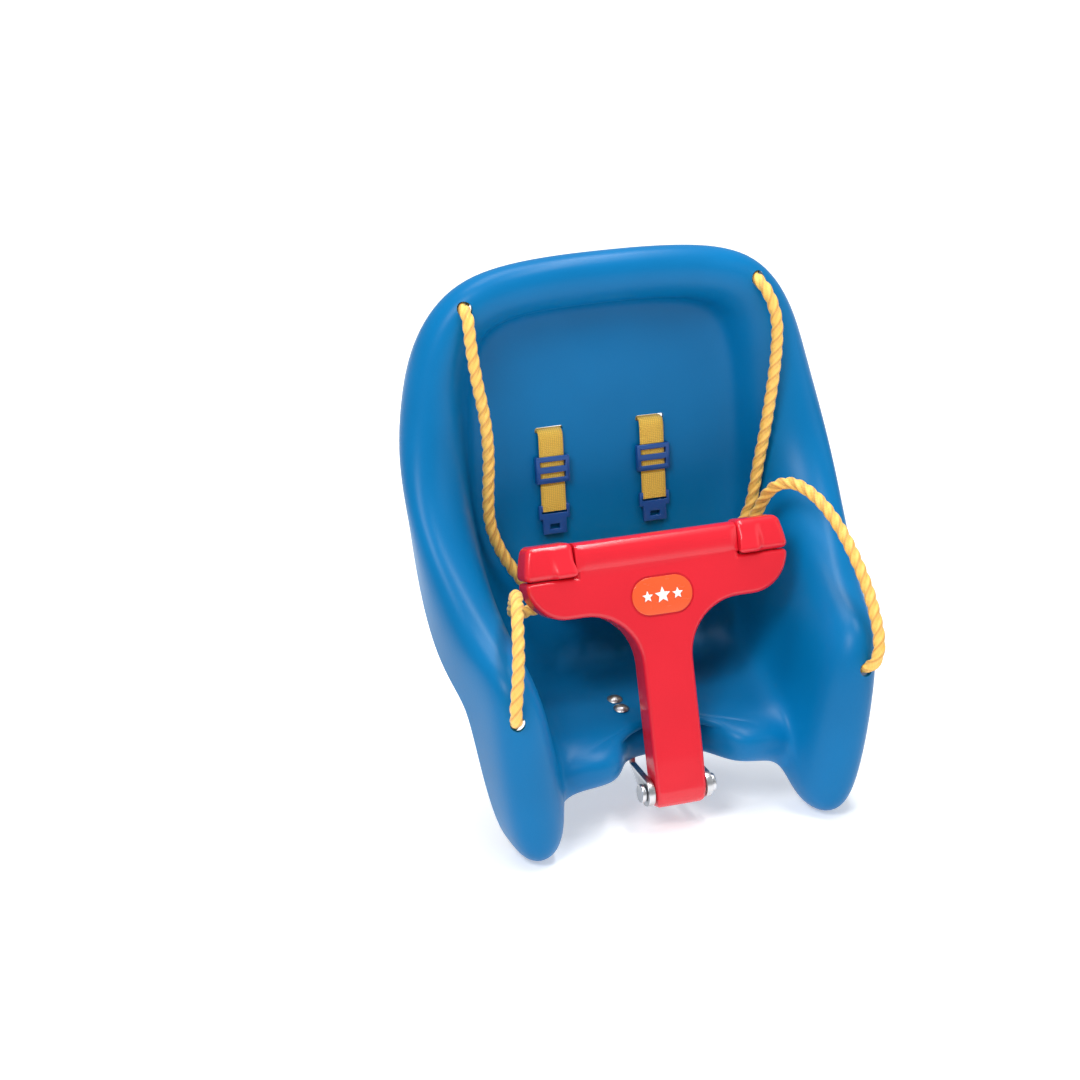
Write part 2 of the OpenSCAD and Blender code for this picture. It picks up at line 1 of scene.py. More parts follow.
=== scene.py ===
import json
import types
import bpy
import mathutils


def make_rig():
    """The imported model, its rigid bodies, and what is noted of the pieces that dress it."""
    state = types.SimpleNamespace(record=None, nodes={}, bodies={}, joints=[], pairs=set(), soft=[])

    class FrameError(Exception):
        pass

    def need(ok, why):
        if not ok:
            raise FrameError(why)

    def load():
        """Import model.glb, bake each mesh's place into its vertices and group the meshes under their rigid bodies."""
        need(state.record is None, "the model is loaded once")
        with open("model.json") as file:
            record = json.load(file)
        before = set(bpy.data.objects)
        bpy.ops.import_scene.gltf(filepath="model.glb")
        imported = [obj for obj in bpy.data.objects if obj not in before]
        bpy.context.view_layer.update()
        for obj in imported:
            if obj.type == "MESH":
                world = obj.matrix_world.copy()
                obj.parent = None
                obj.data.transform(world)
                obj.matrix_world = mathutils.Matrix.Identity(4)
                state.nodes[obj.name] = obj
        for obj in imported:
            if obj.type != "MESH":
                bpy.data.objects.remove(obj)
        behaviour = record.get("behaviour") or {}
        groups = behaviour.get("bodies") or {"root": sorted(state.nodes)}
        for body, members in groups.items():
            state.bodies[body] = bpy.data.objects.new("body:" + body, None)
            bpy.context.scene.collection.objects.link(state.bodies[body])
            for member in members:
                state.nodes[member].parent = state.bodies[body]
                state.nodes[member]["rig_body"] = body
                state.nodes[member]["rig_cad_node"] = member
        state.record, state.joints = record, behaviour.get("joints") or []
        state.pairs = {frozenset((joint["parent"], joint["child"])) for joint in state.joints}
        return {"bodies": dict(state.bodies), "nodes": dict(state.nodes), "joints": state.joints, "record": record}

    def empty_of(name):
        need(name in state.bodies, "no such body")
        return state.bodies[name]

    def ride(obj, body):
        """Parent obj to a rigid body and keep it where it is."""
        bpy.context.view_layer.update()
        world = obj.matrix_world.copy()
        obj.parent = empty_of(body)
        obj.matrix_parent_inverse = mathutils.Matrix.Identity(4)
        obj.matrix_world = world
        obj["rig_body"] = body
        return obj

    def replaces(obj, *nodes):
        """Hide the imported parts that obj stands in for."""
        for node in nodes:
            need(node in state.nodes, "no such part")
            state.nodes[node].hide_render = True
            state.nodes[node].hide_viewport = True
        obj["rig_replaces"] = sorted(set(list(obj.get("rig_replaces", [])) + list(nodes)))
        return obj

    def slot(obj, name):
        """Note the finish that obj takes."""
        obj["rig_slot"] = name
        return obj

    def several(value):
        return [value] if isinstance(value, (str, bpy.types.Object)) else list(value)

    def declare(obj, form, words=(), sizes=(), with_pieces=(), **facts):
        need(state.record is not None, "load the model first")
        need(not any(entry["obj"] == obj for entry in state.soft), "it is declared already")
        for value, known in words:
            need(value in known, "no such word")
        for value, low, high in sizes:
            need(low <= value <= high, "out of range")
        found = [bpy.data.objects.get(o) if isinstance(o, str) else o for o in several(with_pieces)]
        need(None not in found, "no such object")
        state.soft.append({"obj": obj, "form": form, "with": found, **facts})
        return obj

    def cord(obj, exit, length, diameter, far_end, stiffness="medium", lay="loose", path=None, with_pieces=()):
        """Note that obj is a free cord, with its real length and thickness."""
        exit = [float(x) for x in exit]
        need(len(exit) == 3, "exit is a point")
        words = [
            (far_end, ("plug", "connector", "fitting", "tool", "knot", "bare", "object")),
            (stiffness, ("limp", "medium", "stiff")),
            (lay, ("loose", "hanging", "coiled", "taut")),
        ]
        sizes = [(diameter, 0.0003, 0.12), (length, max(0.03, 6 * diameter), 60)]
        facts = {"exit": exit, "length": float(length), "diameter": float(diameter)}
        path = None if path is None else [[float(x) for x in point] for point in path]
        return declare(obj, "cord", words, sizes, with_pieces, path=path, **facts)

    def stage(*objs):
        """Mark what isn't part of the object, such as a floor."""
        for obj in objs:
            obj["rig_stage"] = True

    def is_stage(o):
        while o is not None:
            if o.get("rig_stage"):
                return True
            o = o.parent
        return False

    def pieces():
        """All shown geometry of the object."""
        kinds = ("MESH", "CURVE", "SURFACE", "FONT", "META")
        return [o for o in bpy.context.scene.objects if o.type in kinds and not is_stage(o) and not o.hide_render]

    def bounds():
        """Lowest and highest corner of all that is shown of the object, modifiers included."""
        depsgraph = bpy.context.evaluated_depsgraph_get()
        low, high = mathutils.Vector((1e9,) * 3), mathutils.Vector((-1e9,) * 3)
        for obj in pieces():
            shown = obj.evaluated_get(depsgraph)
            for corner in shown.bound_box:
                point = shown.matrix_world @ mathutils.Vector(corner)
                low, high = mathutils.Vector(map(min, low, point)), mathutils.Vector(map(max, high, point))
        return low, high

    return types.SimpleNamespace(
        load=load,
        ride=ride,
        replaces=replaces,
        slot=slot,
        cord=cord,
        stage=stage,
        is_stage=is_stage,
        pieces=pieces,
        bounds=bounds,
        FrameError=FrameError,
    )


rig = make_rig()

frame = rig.load()
import json
import math

import bmesh
import bpy
from bpy.props import FloatProperty, FloatVectorProperty, PointerProperty
from mathutils import Matrix, Vector

bl_info = {
    "name": "Toddler Bucket Swing",
    "version": (1, 0, 0),
    "blender": (4, 5, 0),
    "location": "View3D > Sidebar > Swing",
    "description": "Builds the visual model of a bucket swing around its packed frame",
    "category": "Object",
}

MM = 0.001
HANG = Vector((0.0, 240.0, 478.0))    # the frame's origin, measured as part.scad measures
LEFT, RIGHT = -1, 1
SIDE_NAMES = {LEFT: "left", RIGHT: "right"}


def at(x, y, z):
    """A point measured in millimetres from below the front lip, in the frame's metres."""
    return (Vector((x, y, z)) - HANG) * MM


# ----- sizes and colours ---------------------------------------------------------------

def length(name, text, value):
    return FloatProperty(name=name, description=text, default=value, unit="LENGTH",
                         precision=4, min=0.0)


def colour(name, text, value):
    return FloatVectorProperty(name=name, description=text, default=value, size=4,
                               subtype="COLOR", min=0.0, max=1.0)


class SwingSizes(bpy.types.PropertyGroup):
    shell_wall: length("Shell wall", "Thickness of the moulded seat shell", 0.004)
    rope_hole: length("Rope hole", "Radius of the rope holes in the shell", 0.007)
    rope_diameter: length("Rope diameter", "Diameter of the twisted rope", 0.012)
    rope_lay: length("Rope lay", "Length of one full turn of a strand", 0.039)
    bar_edge: length("Bar edge", "Rounding of the T-bar's edges", 0.0055)
    strap_width: length("Strap width", "Width of the webbing", 0.025)
    strap_thickness: length("Strap thickness", "Thickness of the webbing", 0.0018)


class SwingColours(bpy.types.PropertyGroup):
    shell: colour("Shell", "Seat shell plastic", (0.0, 0.150, 0.375, 1))
    bar: colour("T-bar", "T-bar and cover plastic", (0.70, 0.012, 0.026, 1))
    buckle: colour("Buckle", "Adjusters, tongues and buttons", (0.008, 0.075, 0.30, 1))
    badge: colour("Badge", "Badge on the T-bar", (0.80, 0.095, 0.018, 1))
    star: colour("Stars", "Stars on the badge", (0.88, 0.88, 0.86, 1))
    rope: colour("Rope", "Rope fibres in the light", (0.98, 0.56, 0.085, 1))
    # The rope's colour darkened as painted shade, laid between its strands and in the grooves between its yarns.
    rope_deep: colour("Rope painted shade", "Painted shade on the rope between its strands and yarns", (0.62, 0.22, 0.015, 1))
    webbing: colour("Webbing", "Shoulder straps", (0.98, 0.60, 0.07, 1))
    floor: colour("Floor", "Floor of the stage", (0.86, 0.86, 0.86, 1))


# ----- shared modelling steps ----------------------------------------------------------

def deselect():
    if bpy.context.object and bpy.context.object.mode != "OBJECT":
        bpy.ops.object.mode_set(mode="OBJECT")
    bpy.ops.object.select_all(action="DESELECT")


def only(piece):
    deselect()
    piece.select_set(True)
    bpy.context.view_layer.objects.active = piece
    return piece


def named(name):
    piece = bpy.context.object
    piece.name = name
    piece.data.name = name
    return piece


def settle(piece):
    """Leaves the piece's object at the origin, with its place in its mesh."""
    only(piece)
    bpy.ops.object.transform_apply(location=True, rotation=True, scale=True)
    return piece


def modify(piece, kind, **values):
    """Adds a modifier with these values and applies it."""
    only(piece)
    modifier = piece.modifiers.new(kind.title(), kind)
    for key, value in values.items():
        setattr(modifier, key, value)
    bpy.ops.object.modifier_apply(modifier=modifier.name)
    return piece


def in_edit(piece, *steps):
    """Runs edit mode operators on the whole mesh, each given with its arguments."""
    only(piece)
    bpy.ops.object.mode_set(mode="EDIT")
    bpy.ops.mesh.select_all(action="SELECT")
    for operator, values in steps:
        operator(**values)
    bpy.ops.object.mode_set(mode="OBJECT")
    return piece


def smooth(piece, degrees=38.0):
    only(piece)
    bpy.ops.object.shade_smooth_by_angle(angle=math.radians(degrees))
    return piece


def evened(piece, degrees=38.0):
    """Smooth shading whose normals follow the larger faces, for cut and joined shapes."""
    smooth(piece, degrees)
    return modify(piece, "WEIGHTED_NORMAL", keep_sharp=True, weight=80)


def mesh_piece(name, points, faces):
    """A new piece from points and faces, for shapes that are swept along a route."""
    deselect()
    mesh = bpy.data.meshes.new(name)
    mesh.from_pydata([tuple(p) for p in points], [], faces)
    piece = bpy.data.objects.new(name, mesh)
    bpy.context.scene.collection.objects.link(piece)
    return only(piece)


def cut(piece, cutter, operation="DIFFERENCE"):
    modify(piece, "BOOLEAN", object=cutter, operation=operation, solver="EXACT")
    bpy.data.objects.remove(cutter)
    return piece


def cylinder(radius, depth, place, turn=(0, 0, 0), sides=40):
    bpy.ops.mesh.primitive_cylinder_add(vertices=sides, radius=radius, depth=depth,
                                        location=place, rotation=turn)
    return settle(bpy.context.object)


def block(size, place):
    bpy.ops.mesh.primitive_cube_add(size=1, location=place)
    bpy.context.object.scale = size
    return settle(bpy.context.object)


def softened(name, node, edge, angle=30.0, segments=3):
    """A copy of a CAD node with its loose triangles joined and its edges rounded."""
    only(frame["nodes"][node])
    piece = frame["nodes"][node].copy()
    piece.data = piece.data.copy()
    for key in list(piece.keys()):
        del piece[key]
    piece.parent = None
    piece.name = name
    piece.data.name = name
    piece.data.materials.clear()
    bpy.context.scene.collection.objects.link(piece)
    in_edit(piece, (bpy.ops.mesh.remove_doubles, {"threshold": 2e-6}),
            (bpy.ops.mesh.dissolve_limited, {"angle_limit": math.radians(1.5)}))
    modify(piece, "BEVEL", width=edge, segments=segments, limit_method="ANGLE",
           angle_limit=math.radians(angle), use_clamp_overlap=True)
    return smooth(piece)


def finish_piece(piece, body, slot, material, *nodes):
    """Gives the piece its finish, its body and the CAD nodes that it stands for."""
    settle(piece)
    piece.data.materials.clear()
    piece.data.materials.append(material)
    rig.ride(piece, body)
    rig.slot(piece, slot)
    if nodes:
        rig.replaces(piece, *nodes)
    return piece


# ----- materials -----------------------------------------------------------------------

def node_group(name, inputs, outputs):
    group = bpy.data.node_groups.new(name, "ShaderNodeTree")
    for label, kind, value in inputs:
        socket = group.interface.new_socket(label, in_out="INPUT", socket_type=kind)
        if value is not None:
            socket.default_value = value
    for label, kind in outputs:
        group.interface.new_socket(label, in_out="OUTPUT", socket_type=kind)
    return group, group.nodes.new("NodeGroupInput"), group.nodes.new("NodeGroupOutput")


class Wiring:
    """Short hands for the nodes of one tree."""

    def __init__(self, tree):
        self.tree = tree

    def feed(self, socket, value):
        if hasattr(value, "is_output"):
            self.tree.links.new(value, socket)
        else:
            socket.default_value = value

    def math(self, operation, *values, clamp=False):
        node = self.tree.nodes.new("ShaderNodeMath")
        node.operation = operation
        node.use_clamp = clamp
        for socket, value in zip(node.inputs, values):
            self.feed(socket, value)
        return node.outputs[0]

    def mix(self, factor, a, b, blend="MIX"):
        node = self.tree.nodes.new("ShaderNodeMix")
        node.data_type = "RGBA"
        node.blend_type = blend
        self.feed(node.inputs["Factor"], factor)
        self.feed(node.inputs[6], a)
        self.feed(node.inputs[7], b)
        return node.outputs[2]

    def noise(self, vector, scale, detail=3.0, rough=0.55):
        node = self.tree.nodes.new("ShaderNodeTexNoise")
        self.feed(node.inputs["Vector"], vector)
        self.feed(node.inputs["Scale"], scale)
        node.inputs["Detail"].default_value = detail
        node.inputs["Roughness"].default_value = rough
        return node.outputs["Fac"]

    def spread(self, value, low, high, to_low=0.0, to_high=1.0):
        node = self.tree.nodes.new("ShaderNodeMapRange")
        self.feed(node.inputs["Value"], value)
        for socket, number in zip(("From Min", "From Max", "To Min", "To Max"),
                                  (low, high, to_low, to_high)):
            self.feed(node.inputs[socket], number)
        return node.outputs[0]

    def stretched(self, vector, scale, turn=(0, 0, 0)):
        node = self.tree.nodes.new("ShaderNodeMapping")
        self.feed(node.inputs["Vector"], vector)
        node.inputs["Scale"].default_value = scale
        node.inputs["Rotation"].default_value = turn
        return node.outputs[0]


def make_mould_group():
    """Moulded plastic: a slow drift of colour, rubbed edges, fine grain and scuffs."""
    group, given, result = node_group("moulded surface", [
        ("Vector", "NodeSocketVector", None), ("Colour", "NodeSocketColor", (1, 1, 1, 1)),
        ("Worn Colour", "NodeSocketColor", (1, 1, 1, 1)), ("Edge", "NodeSocketFloat", 0.5),
        ("Roughness", "NodeSocketFloat", 0.4), ("Grain", "NodeSocketFloat", 500.0),
        ("Wear", "NodeSocketFloat", 0.3), ("Scuff", "NodeSocketFloat", 0.08)],
        [("Colour", "NodeSocketColor"), ("Roughness", "NodeSocketFloat"),
         ("Height", "NodeSocketFloat")])
    w = Wiring(group)
    place = given.outputs["Vector"]
    drift = w.spread(w.noise(place, 7.0, 2.0), 0.3, 0.7, 0.90, 1.07)
    speck = w.spread(w.noise(place, 1400.0, 1.0), 0.25, 0.75, 0.97, 1.03)
    shade = w.math("MULTIPLY", drift, speck)
    bright = group.nodes.new("ShaderNodeVectorMath")
    bright.operation = "SCALE"
    w.feed(bright.inputs[0], given.outputs["Colour"])
    w.feed(bright.inputs["Scale"], shade)
    rub = w.math("MULTIPLY", w.spread(given.outputs["Edge"], 0.53, 0.62),
                 w.spread(w.noise(place, 60.0, 5.0), 0.35, 0.65))
    rub = w.math("MULTIPLY", rub, given.outputs["Wear"], clamp=True)
    tinted = w.mix(rub, bright.outputs[0], given.outputs["Worn Colour"])
    w.feed(result.inputs["Colour"], tinted)
    scuffs = w.noise(w.stretched(place, (30.0, 260.0, 26.0), (0.3, 0.5, 0.9)), 3.0, 6.0, 0.7)
    scuff = w.math("MULTIPLY", w.spread(scuffs, 0.55, 0.85), given.outputs["Scuff"])
    patch = w.spread(w.noise(place, 9.0, 2.0), 0.2, 0.8, -0.02, 0.03)
    rough = w.math("ADD", given.outputs["Roughness"], patch)
    rough = w.math("ADD", rough, scuff)
    w.feed(result.inputs["Roughness"], rough)
    grain = w.noise(place, given.outputs["Grain"], 2.0)
    w.feed(result.inputs["Height"], grain)
    return group


def make_fibre_group():
    """Drawn fibres that run along V of a UV map, with painted shade between bundles and in the grooves between yarns.
    """
    group, given, result = node_group("fibre bundle", [
        ("Vector", "NodeSocketVector", None), ("Light", "NodeSocketColor", (1, 1, 1, 1)),
        ("Deep", "NodeSocketColor", (0, 0, 0, 1)), ("Bundles", "NodeSocketFloat", 3.0),
        ("Slant", "NodeSocketFloat", 30.0)],
        [("Colour", "NodeSocketColor"), ("Roughness", "NodeSocketFloat"),
         ("Height", "NodeSocketFloat")])
    w = Wiring(group)
    parts = group.nodes.new("ShaderNodeSeparateXYZ")
    w.feed(parts.inputs[0], given.outputs["Vector"])
    around, along = parts.outputs[0], parts.outputs[1]
    local = w.math("FRACT", w.math("MULTIPLY", around, given.outputs["Bundles"]))
    side = w.math("ABSOLUTE", w.math("MULTIPLY", w.math("SUBTRACT", local, 0.5), 2.0))
    # Painted shade: the colour darkens towards the sides of each strand, where the strands meet.
    strand_shade_mask = w.spread(side, 0.62, 1.0)
    slanted = w.math("ADD", around, w.math("MULTIPLY", along, given.outputs["Slant"]))
    join = group.nodes.new("ShaderNodeCombineXYZ")
    w.feed(join.inputs[0], w.math("MULTIPLY", slanted, 42.0))
    w.feed(join.inputs[1], w.math("MULTIPLY", along, 55.0))
    w.feed(join.inputs[2], w.math("FLOOR", w.math("MULTIPLY", around, given.outputs["Bundles"])))
    fibre = w.noise(join.outputs[0], 2.2, 4.0, 0.6)
    yarn = w.math("SINE", w.math("MULTIPLY", slanted, 115.0))
    # The rope's colour with that painted shade between its strands.
    deep = w.mix(strand_shade_mask, given.outputs["Light"], given.outputs["Deep"])
    pale = w.mix(w.spread(fibre, 0.35, 0.75, 0.0, 0.42), deep, (1.0, 0.80, 0.36, 1))
    # Painted shade in the grooves between the yarns, where the yarn wave is low; the same wave also feeds the bump.
    with_yarn_shade = w.mix(w.spread(yarn, -1.0, -0.3, 0.30, 0.0), pale, given.outputs["Deep"])
    w.feed(result.inputs["Colour"], with_yarn_shade)
    w.feed(result.inputs["Roughness"], w.spread(fibre, 0.2, 0.8, 0.62, 0.40))
    height = w.math("ADD", w.math("MULTIPLY", fibre, 0.7), w.math("MULTIPLY", yarn, 0.22))
    w.feed(result.inputs["Height"], height)
    return group


def start_material(name):
    material = bpy.data.materials.new(name)
    material.use_nodes = True
    tree = material.node_tree
    shader = tree.nodes["Principled BSDF"]
    return material, tree, shader


def add_bump(tree, shader, height, strength, distance):
    bump = tree.nodes.new("ShaderNodeBump")
    bump.inputs["Strength"].default_value = strength
    bump.inputs["Distance"].default_value = distance
    tree.links.new(height, bump.inputs["Height"])
    tree.links.new(bump.outputs[0], shader.inputs["Normal"])


def group_in(tree, group, values):
    node, w = tree.nodes.new("ShaderNodeGroup"), Wiring(tree)
    node.node_tree = group
    for key, value in values.items():
        w.feed(node.inputs[key], value)
    return node


def plastic(name, group, tint, worn, rough, grain, wear, coat=0.0, bump=0.12, gloss=0.5,
            scuff=0.08):
    material, tree, shader = start_material(name)
    coords = tree.nodes.new("ShaderNodeTexCoord")
    geometry = tree.nodes.new("ShaderNodeNewGeometry")
    node = group_in(tree, group, {
        "Vector": coords.outputs["Object"], "Colour": tint, "Worn Colour": worn,
        "Edge": geometry.outputs["Pointiness"], "Roughness": rough, "Grain": grain,
        "Wear": wear, "Scuff": scuff})
    tree.links.new(node.outputs["Colour"], shader.inputs["Base Color"])
    tree.links.new(node.outputs["Roughness"], shader.inputs["Roughness"])
    shader.inputs["Coat Weight"].default_value = coat
    shader.inputs["Coat Roughness"].default_value = 0.18
    shader.inputs["Specular IOR Level"].default_value = gloss
    add_bump(tree, shader, node.outputs["Height"], bump, 0.0004)
    return material


def rope_finish(name, group, light, deep):
    material, tree, shader = start_material(name)
    coords = tree.nodes.new("ShaderNodeTexCoord")
    # The fibres take the rope's colour, darkened by painted shade between the strands and yarns.
    node = group_in(tree, group, {"Vector": coords.outputs["UV"], "Light": light,
                                  "Deep": deep, "Bundles": 3.0, "Slant": 46.0})
    tree.links.new(node.outputs["Colour"], shader.inputs["Base Color"])
    tree.links.new(node.outputs["Roughness"], shader.inputs["Roughness"])
    shader.inputs["Sheen Weight"].default_value = 0.25
    shader.inputs["Sheen Roughness"].default_value = 0.4
    add_bump(tree, shader, node.outputs["Height"], 0.55, 0.0005)
    return material


def webbing_finish(name, tint):
    """Woven webbing: ribs across the width with warp cords crossing over them, and painted shade in the weave's
    hollows.
    """
    material, tree, shader = start_material(name)
    w = Wiring(tree)
    coords = tree.nodes.new("ShaderNodeTexCoord")
    parts = tree.nodes.new("ShaderNodeSeparateXYZ")
    tree.links.new(coords.outputs["UV"], parts.inputs[0])
    across, along = parts.outputs[0], parts.outputs[1]
    warp = w.math("SINE", w.math("MULTIPLY", across, 2 * math.pi / 0.0021))
    weft = w.math("SINE", w.math("ADD", w.math("MULTIPLY", along, 2 * math.pi / 0.0017),
                                 w.math("MULTIPLY", warp, 0.9)))
    weave = w.math("MULTIPLY", w.math("ADD", warp, 1.4), w.math("ADD", weft, 1.3))
    fuzz = w.noise(coords.outputs["UV"], 900.0, 3.0)
    # Painted shade: the colour darkens where the weave is low, in the hollows between the cords.
    shade = w.spread(w.math("ADD", weave, fuzz), 0.4, 4.6, 0.0, 1.0)
    # A darker copy of the webbing's colour, used as the painted shade in the weave's hollows.
    deep = tuple(0.66 * c for c in tint[:3]) + (1.0,)
    # A darker stripe near each edge of the webbing, in the same darker tone.
    edge = w.spread(w.math("ABSOLUTE", across), 0.0098, 0.0106, 0.0, 0.35)
    colour_out = w.mix(shade, deep, tuple(tint))
    tree.links.new(w.mix(edge, colour_out, deep), shader.inputs["Base Color"])
    tree.links.new(w.spread(fuzz, 0.3, 0.7, 0.55, 0.75), shader.inputs["Roughness"])
    shader.inputs["Sheen Weight"].default_value = 0.3
    add_bump(tree, shader, weave, 0.45, 0.0004)
    return material


def metal_finish(name):
    """Zinc-plated steel, drawn in one direction and a little stained."""
    material, tree, shader = start_material(name)
    w = Wiring(tree)
    coords = tree.nodes.new("ShaderNodeTexCoord")
    brushed = w.noise(w.stretched(coords.outputs["Object"], (40.0, 900.0, 900.0)), 1.0, 3.0)
    stain = w.noise(coords.outputs["Object"], 45.0, 4.0)
    tone = w.mix(w.spread(stain, 0.35, 0.7), (0.64, 0.65, 0.67, 1), (0.47, 0.47, 0.46, 1))
    tree.links.new(tone, shader.inputs["Base Color"])
    tree.links.new(w.spread(brushed, 0.2, 0.8, 0.22, 0.42), shader.inputs["Roughness"])
    shader.inputs["Metallic"].default_value = 1.0
    add_bump(tree, shader, brushed, 0.12, 0.0002)
    return material


MATERIALS = {}


def make_materials():
    tints = bpy.context.scene.swing_colours
    mould = make_mould_group()
    fibre = make_fibre_group()
    MATERIALS.update(
        shell=plastic("shell plastic", mould, tints.shell, (0.06, 0.25, 0.52, 1),
                      0.34, 620.0, 0.30, gloss=0.17),
        bar=plastic("bar plastic", mould, tints.bar, (0.90, 0.16, 0.17, 1),
                    0.22, 300.0, 0.0, bump=0.02, gloss=0.5, scuff=0.0),
        buckle=plastic("buckle plastic", mould, tints.buckle, (0.05, 0.18, 0.46, 1),
                       0.30, 700.0, 0.4),
        badge=plastic("badge plastic", mould, tints.badge, (0.95, 0.35, 0.15, 1),
                      0.25, 800.0, 0.2, coat=0.3, bump=0.04),
        star=plastic("star plastic", mould, tints.star, (0.95, 0.95, 0.95, 1),
                     0.28, 800.0, 0.1, bump=0.04),
        nylon=plastic("nylon", mould, (0.80, 0.80, 0.77, 1), (0.9, 0.9, 0.88, 1),
                      0.5, 900.0, 0.2),
        # The rope takes a second, darker colour for the painted shade between its strands.
        rope=rope_finish("rope fibres", fibre, tints.rope, tints.rope_deep),
        webbing=webbing_finish("webbing", tints.webbing),
        steel=metal_finish("plated steel"))


# ----- routes --------------------------------------------------------------------------

def curve_through(points, step):
    """Points a step apart on a smooth curve through the given ones."""
    points = [Vector(p) for p in points]
    ends = [2 * points[0] - points[1]] + points + [2 * points[-1] - points[-2]]
    fine = []
    for a, b, c, d in zip(ends, ends[1:], ends[2:], ends[3:]):
        ta = max((b - a).length, 1e-9) ** 0.5
        tb = max((c - b).length, 1e-9) ** 0.5
        tc = max((d - c).length, 1e-9) ** 0.5
        m1 = ((b - a) / ta - (c - a) / (ta + tb) + (c - b) / tb) * tb
        m2 = ((c - b) / tb - (d - b) / (tb + tc) + (d - c) / tc) * tb
        for k in range(12):
            t = k / 12
            fine.append((2 * t**3 - 3 * t**2 + 1) * b + (t**3 - 2 * t**2 + t) * m1
                        + (3 * t**2 - 2 * t**3) * c + (t**3 - t**2) * m2)
    fine.append(points[-1])
    return resampled(fine, step)


def resampled(fine, step):
    total = sum((b - a).length for a, b in zip(fine, fine[1:]))
    count = max(2, round(total / step))
    gap, out, walked, goal = total / count, [fine[0].copy()], 0.0, total / count
    for a, b in zip(fine, fine[1:]):
        reach = (b - a).length
        while goal <= walked + reach + 1e-12 and len(out) < count:
            out.append(a.lerp(b, (goal - walked) / max(reach, 1e-12)))
            goal += gap
        walked += reach
    out.append(fine[-1].copy())
    return out


def eased(points, rounds):
    """Takes the corners out of a route, and leaves its ends where they are."""
    for _ in range(rounds):
        points = [points[0]] + [(a + 2 * b + c) / 4 for a, b, c in
                                zip(points, points[1:], points[2:])] + [points[-1]]
    return points


def route_length(points):
    return sum((b - a).length for a, b in zip(points, points[1:]))


def runs_along(route):
    """Distance along the route to each of its points."""
    runs = [0.0]
    for a, b in zip(route, route[1:]):
        runs.append(runs[-1] + (b - a).length)
    return runs


def sections(route):
    """Each point of a route with two directions across it, carried along untwisted."""
    tangents = [(b - a).normalized() for a, b in
                zip([route[0]] + route[:-1], route[1:] + [route[-1]])]
    normal = tangents[0].orthogonal().normalized()
    for place, along in zip(route, tangents):
        normal = (normal - normal.dot(along) * along).normalized()
        yield place, normal, along.cross(normal)


def tube_faces(rows, n):
    """Faces that join rows of n points into a tube, closed at both ends."""
    faces = [[i * n + k, i * n + (k + 1) % n, (i + 1) * n + (k + 1) % n, (i + 1) * n + k]
             for i in range(rows - 1) for k in range(n)]
    return faces + [list(range(n))[::-1], [(rows - 1) * n + k for k in range(n)]]


BACK_LEG = [(147, 257, 478), (147, 248, 478), (147, 238, 477), (150, 228, 471),
            (154, 222, 460), (159, 220, 440), (160, 221, 415), (158, 221, 390),
            (154, 221, 360), (149, 221, 328), (144, 222, 300), (140, 222, 275),
            (136, 224, 252), (128, 230, 232), (113, 238, 215), (97, 246, 206),
            (81, 251, 204)]
BACK_LEG_LEFT = [(-147, 257, 478), (-147, 248, 478), (-147, 238, 477), (-147, 229, 471),
                 (-147, 226, 458), (-145, 226, 440), (-140, 226, 408), (-134, 228, 380),
                 (-130, 230, 352), (-128, 234, 322), (-128, 237, 292), (-126, 239, 266),
                 (-119, 240, 244), (-110, 241, 226), (-99, 242, 209), (-87, 242, 193),
                 (-74, 240, 180), (-57, 238, 172), (-35, 237, 170)]
FRONT_LEG = [(167, 53, 152), (169, 45, 152), (172, 36, 153), (175, 27, 157),
             (179, 24, 166), (182, 28, 182), (182, 38, 202), (180, 52, 225),
             (175, 70, 250), (169, 90, 272), (161, 112, 290), (153, 132, 299),
             (146, 148, 301), (138, 162, 296), (132, 174, 284), (127, 184, 264),
             (119, 190, 243), (110, 189, 230), (97, 184, 223), (81, 180, 220)]
FRONT_LEG_LEFT = [(-167, 53, 152), (-169, 45, 152), (-172, 36, 153), (-175, 27, 157),
                  (-176, 25, 168), (-173, 28, 188), (-169, 36, 212), (-165, 48, 232),
                  (-160, 64, 246), (-154, 82, 251), (-149, 100, 247), (-144, 118, 234),
                  (-140, 134, 218), (-133, 149, 209), (-122, 159, 204), (-105, 167, 203),
                  (-84, 172, 205), (-60, 175, 208), (-35, 176, 209)]
LEGS = {LEFT: (BACK_LEG_LEFT, FRONT_LEG_LEFT), RIGHT: (BACK_LEG, FRONT_LEG)}
HANK_MIDDLE = Vector((23, 211, 201))
HANK_TILT = math.radians(22.7)
HANK_STRAIGHT = 116
INNER_TURN, OUTER_TURN = 24.0, 36.0
UPPER_LAYER, LOWER_LAYER = 18.0, 6.0


def hank_place(side, u, v, w):
    turned = Matrix.Rotation(-HANK_TILT, 3, "X") @ Vector((side * u, v, side * w))
    return HANK_MIDDLE + turned


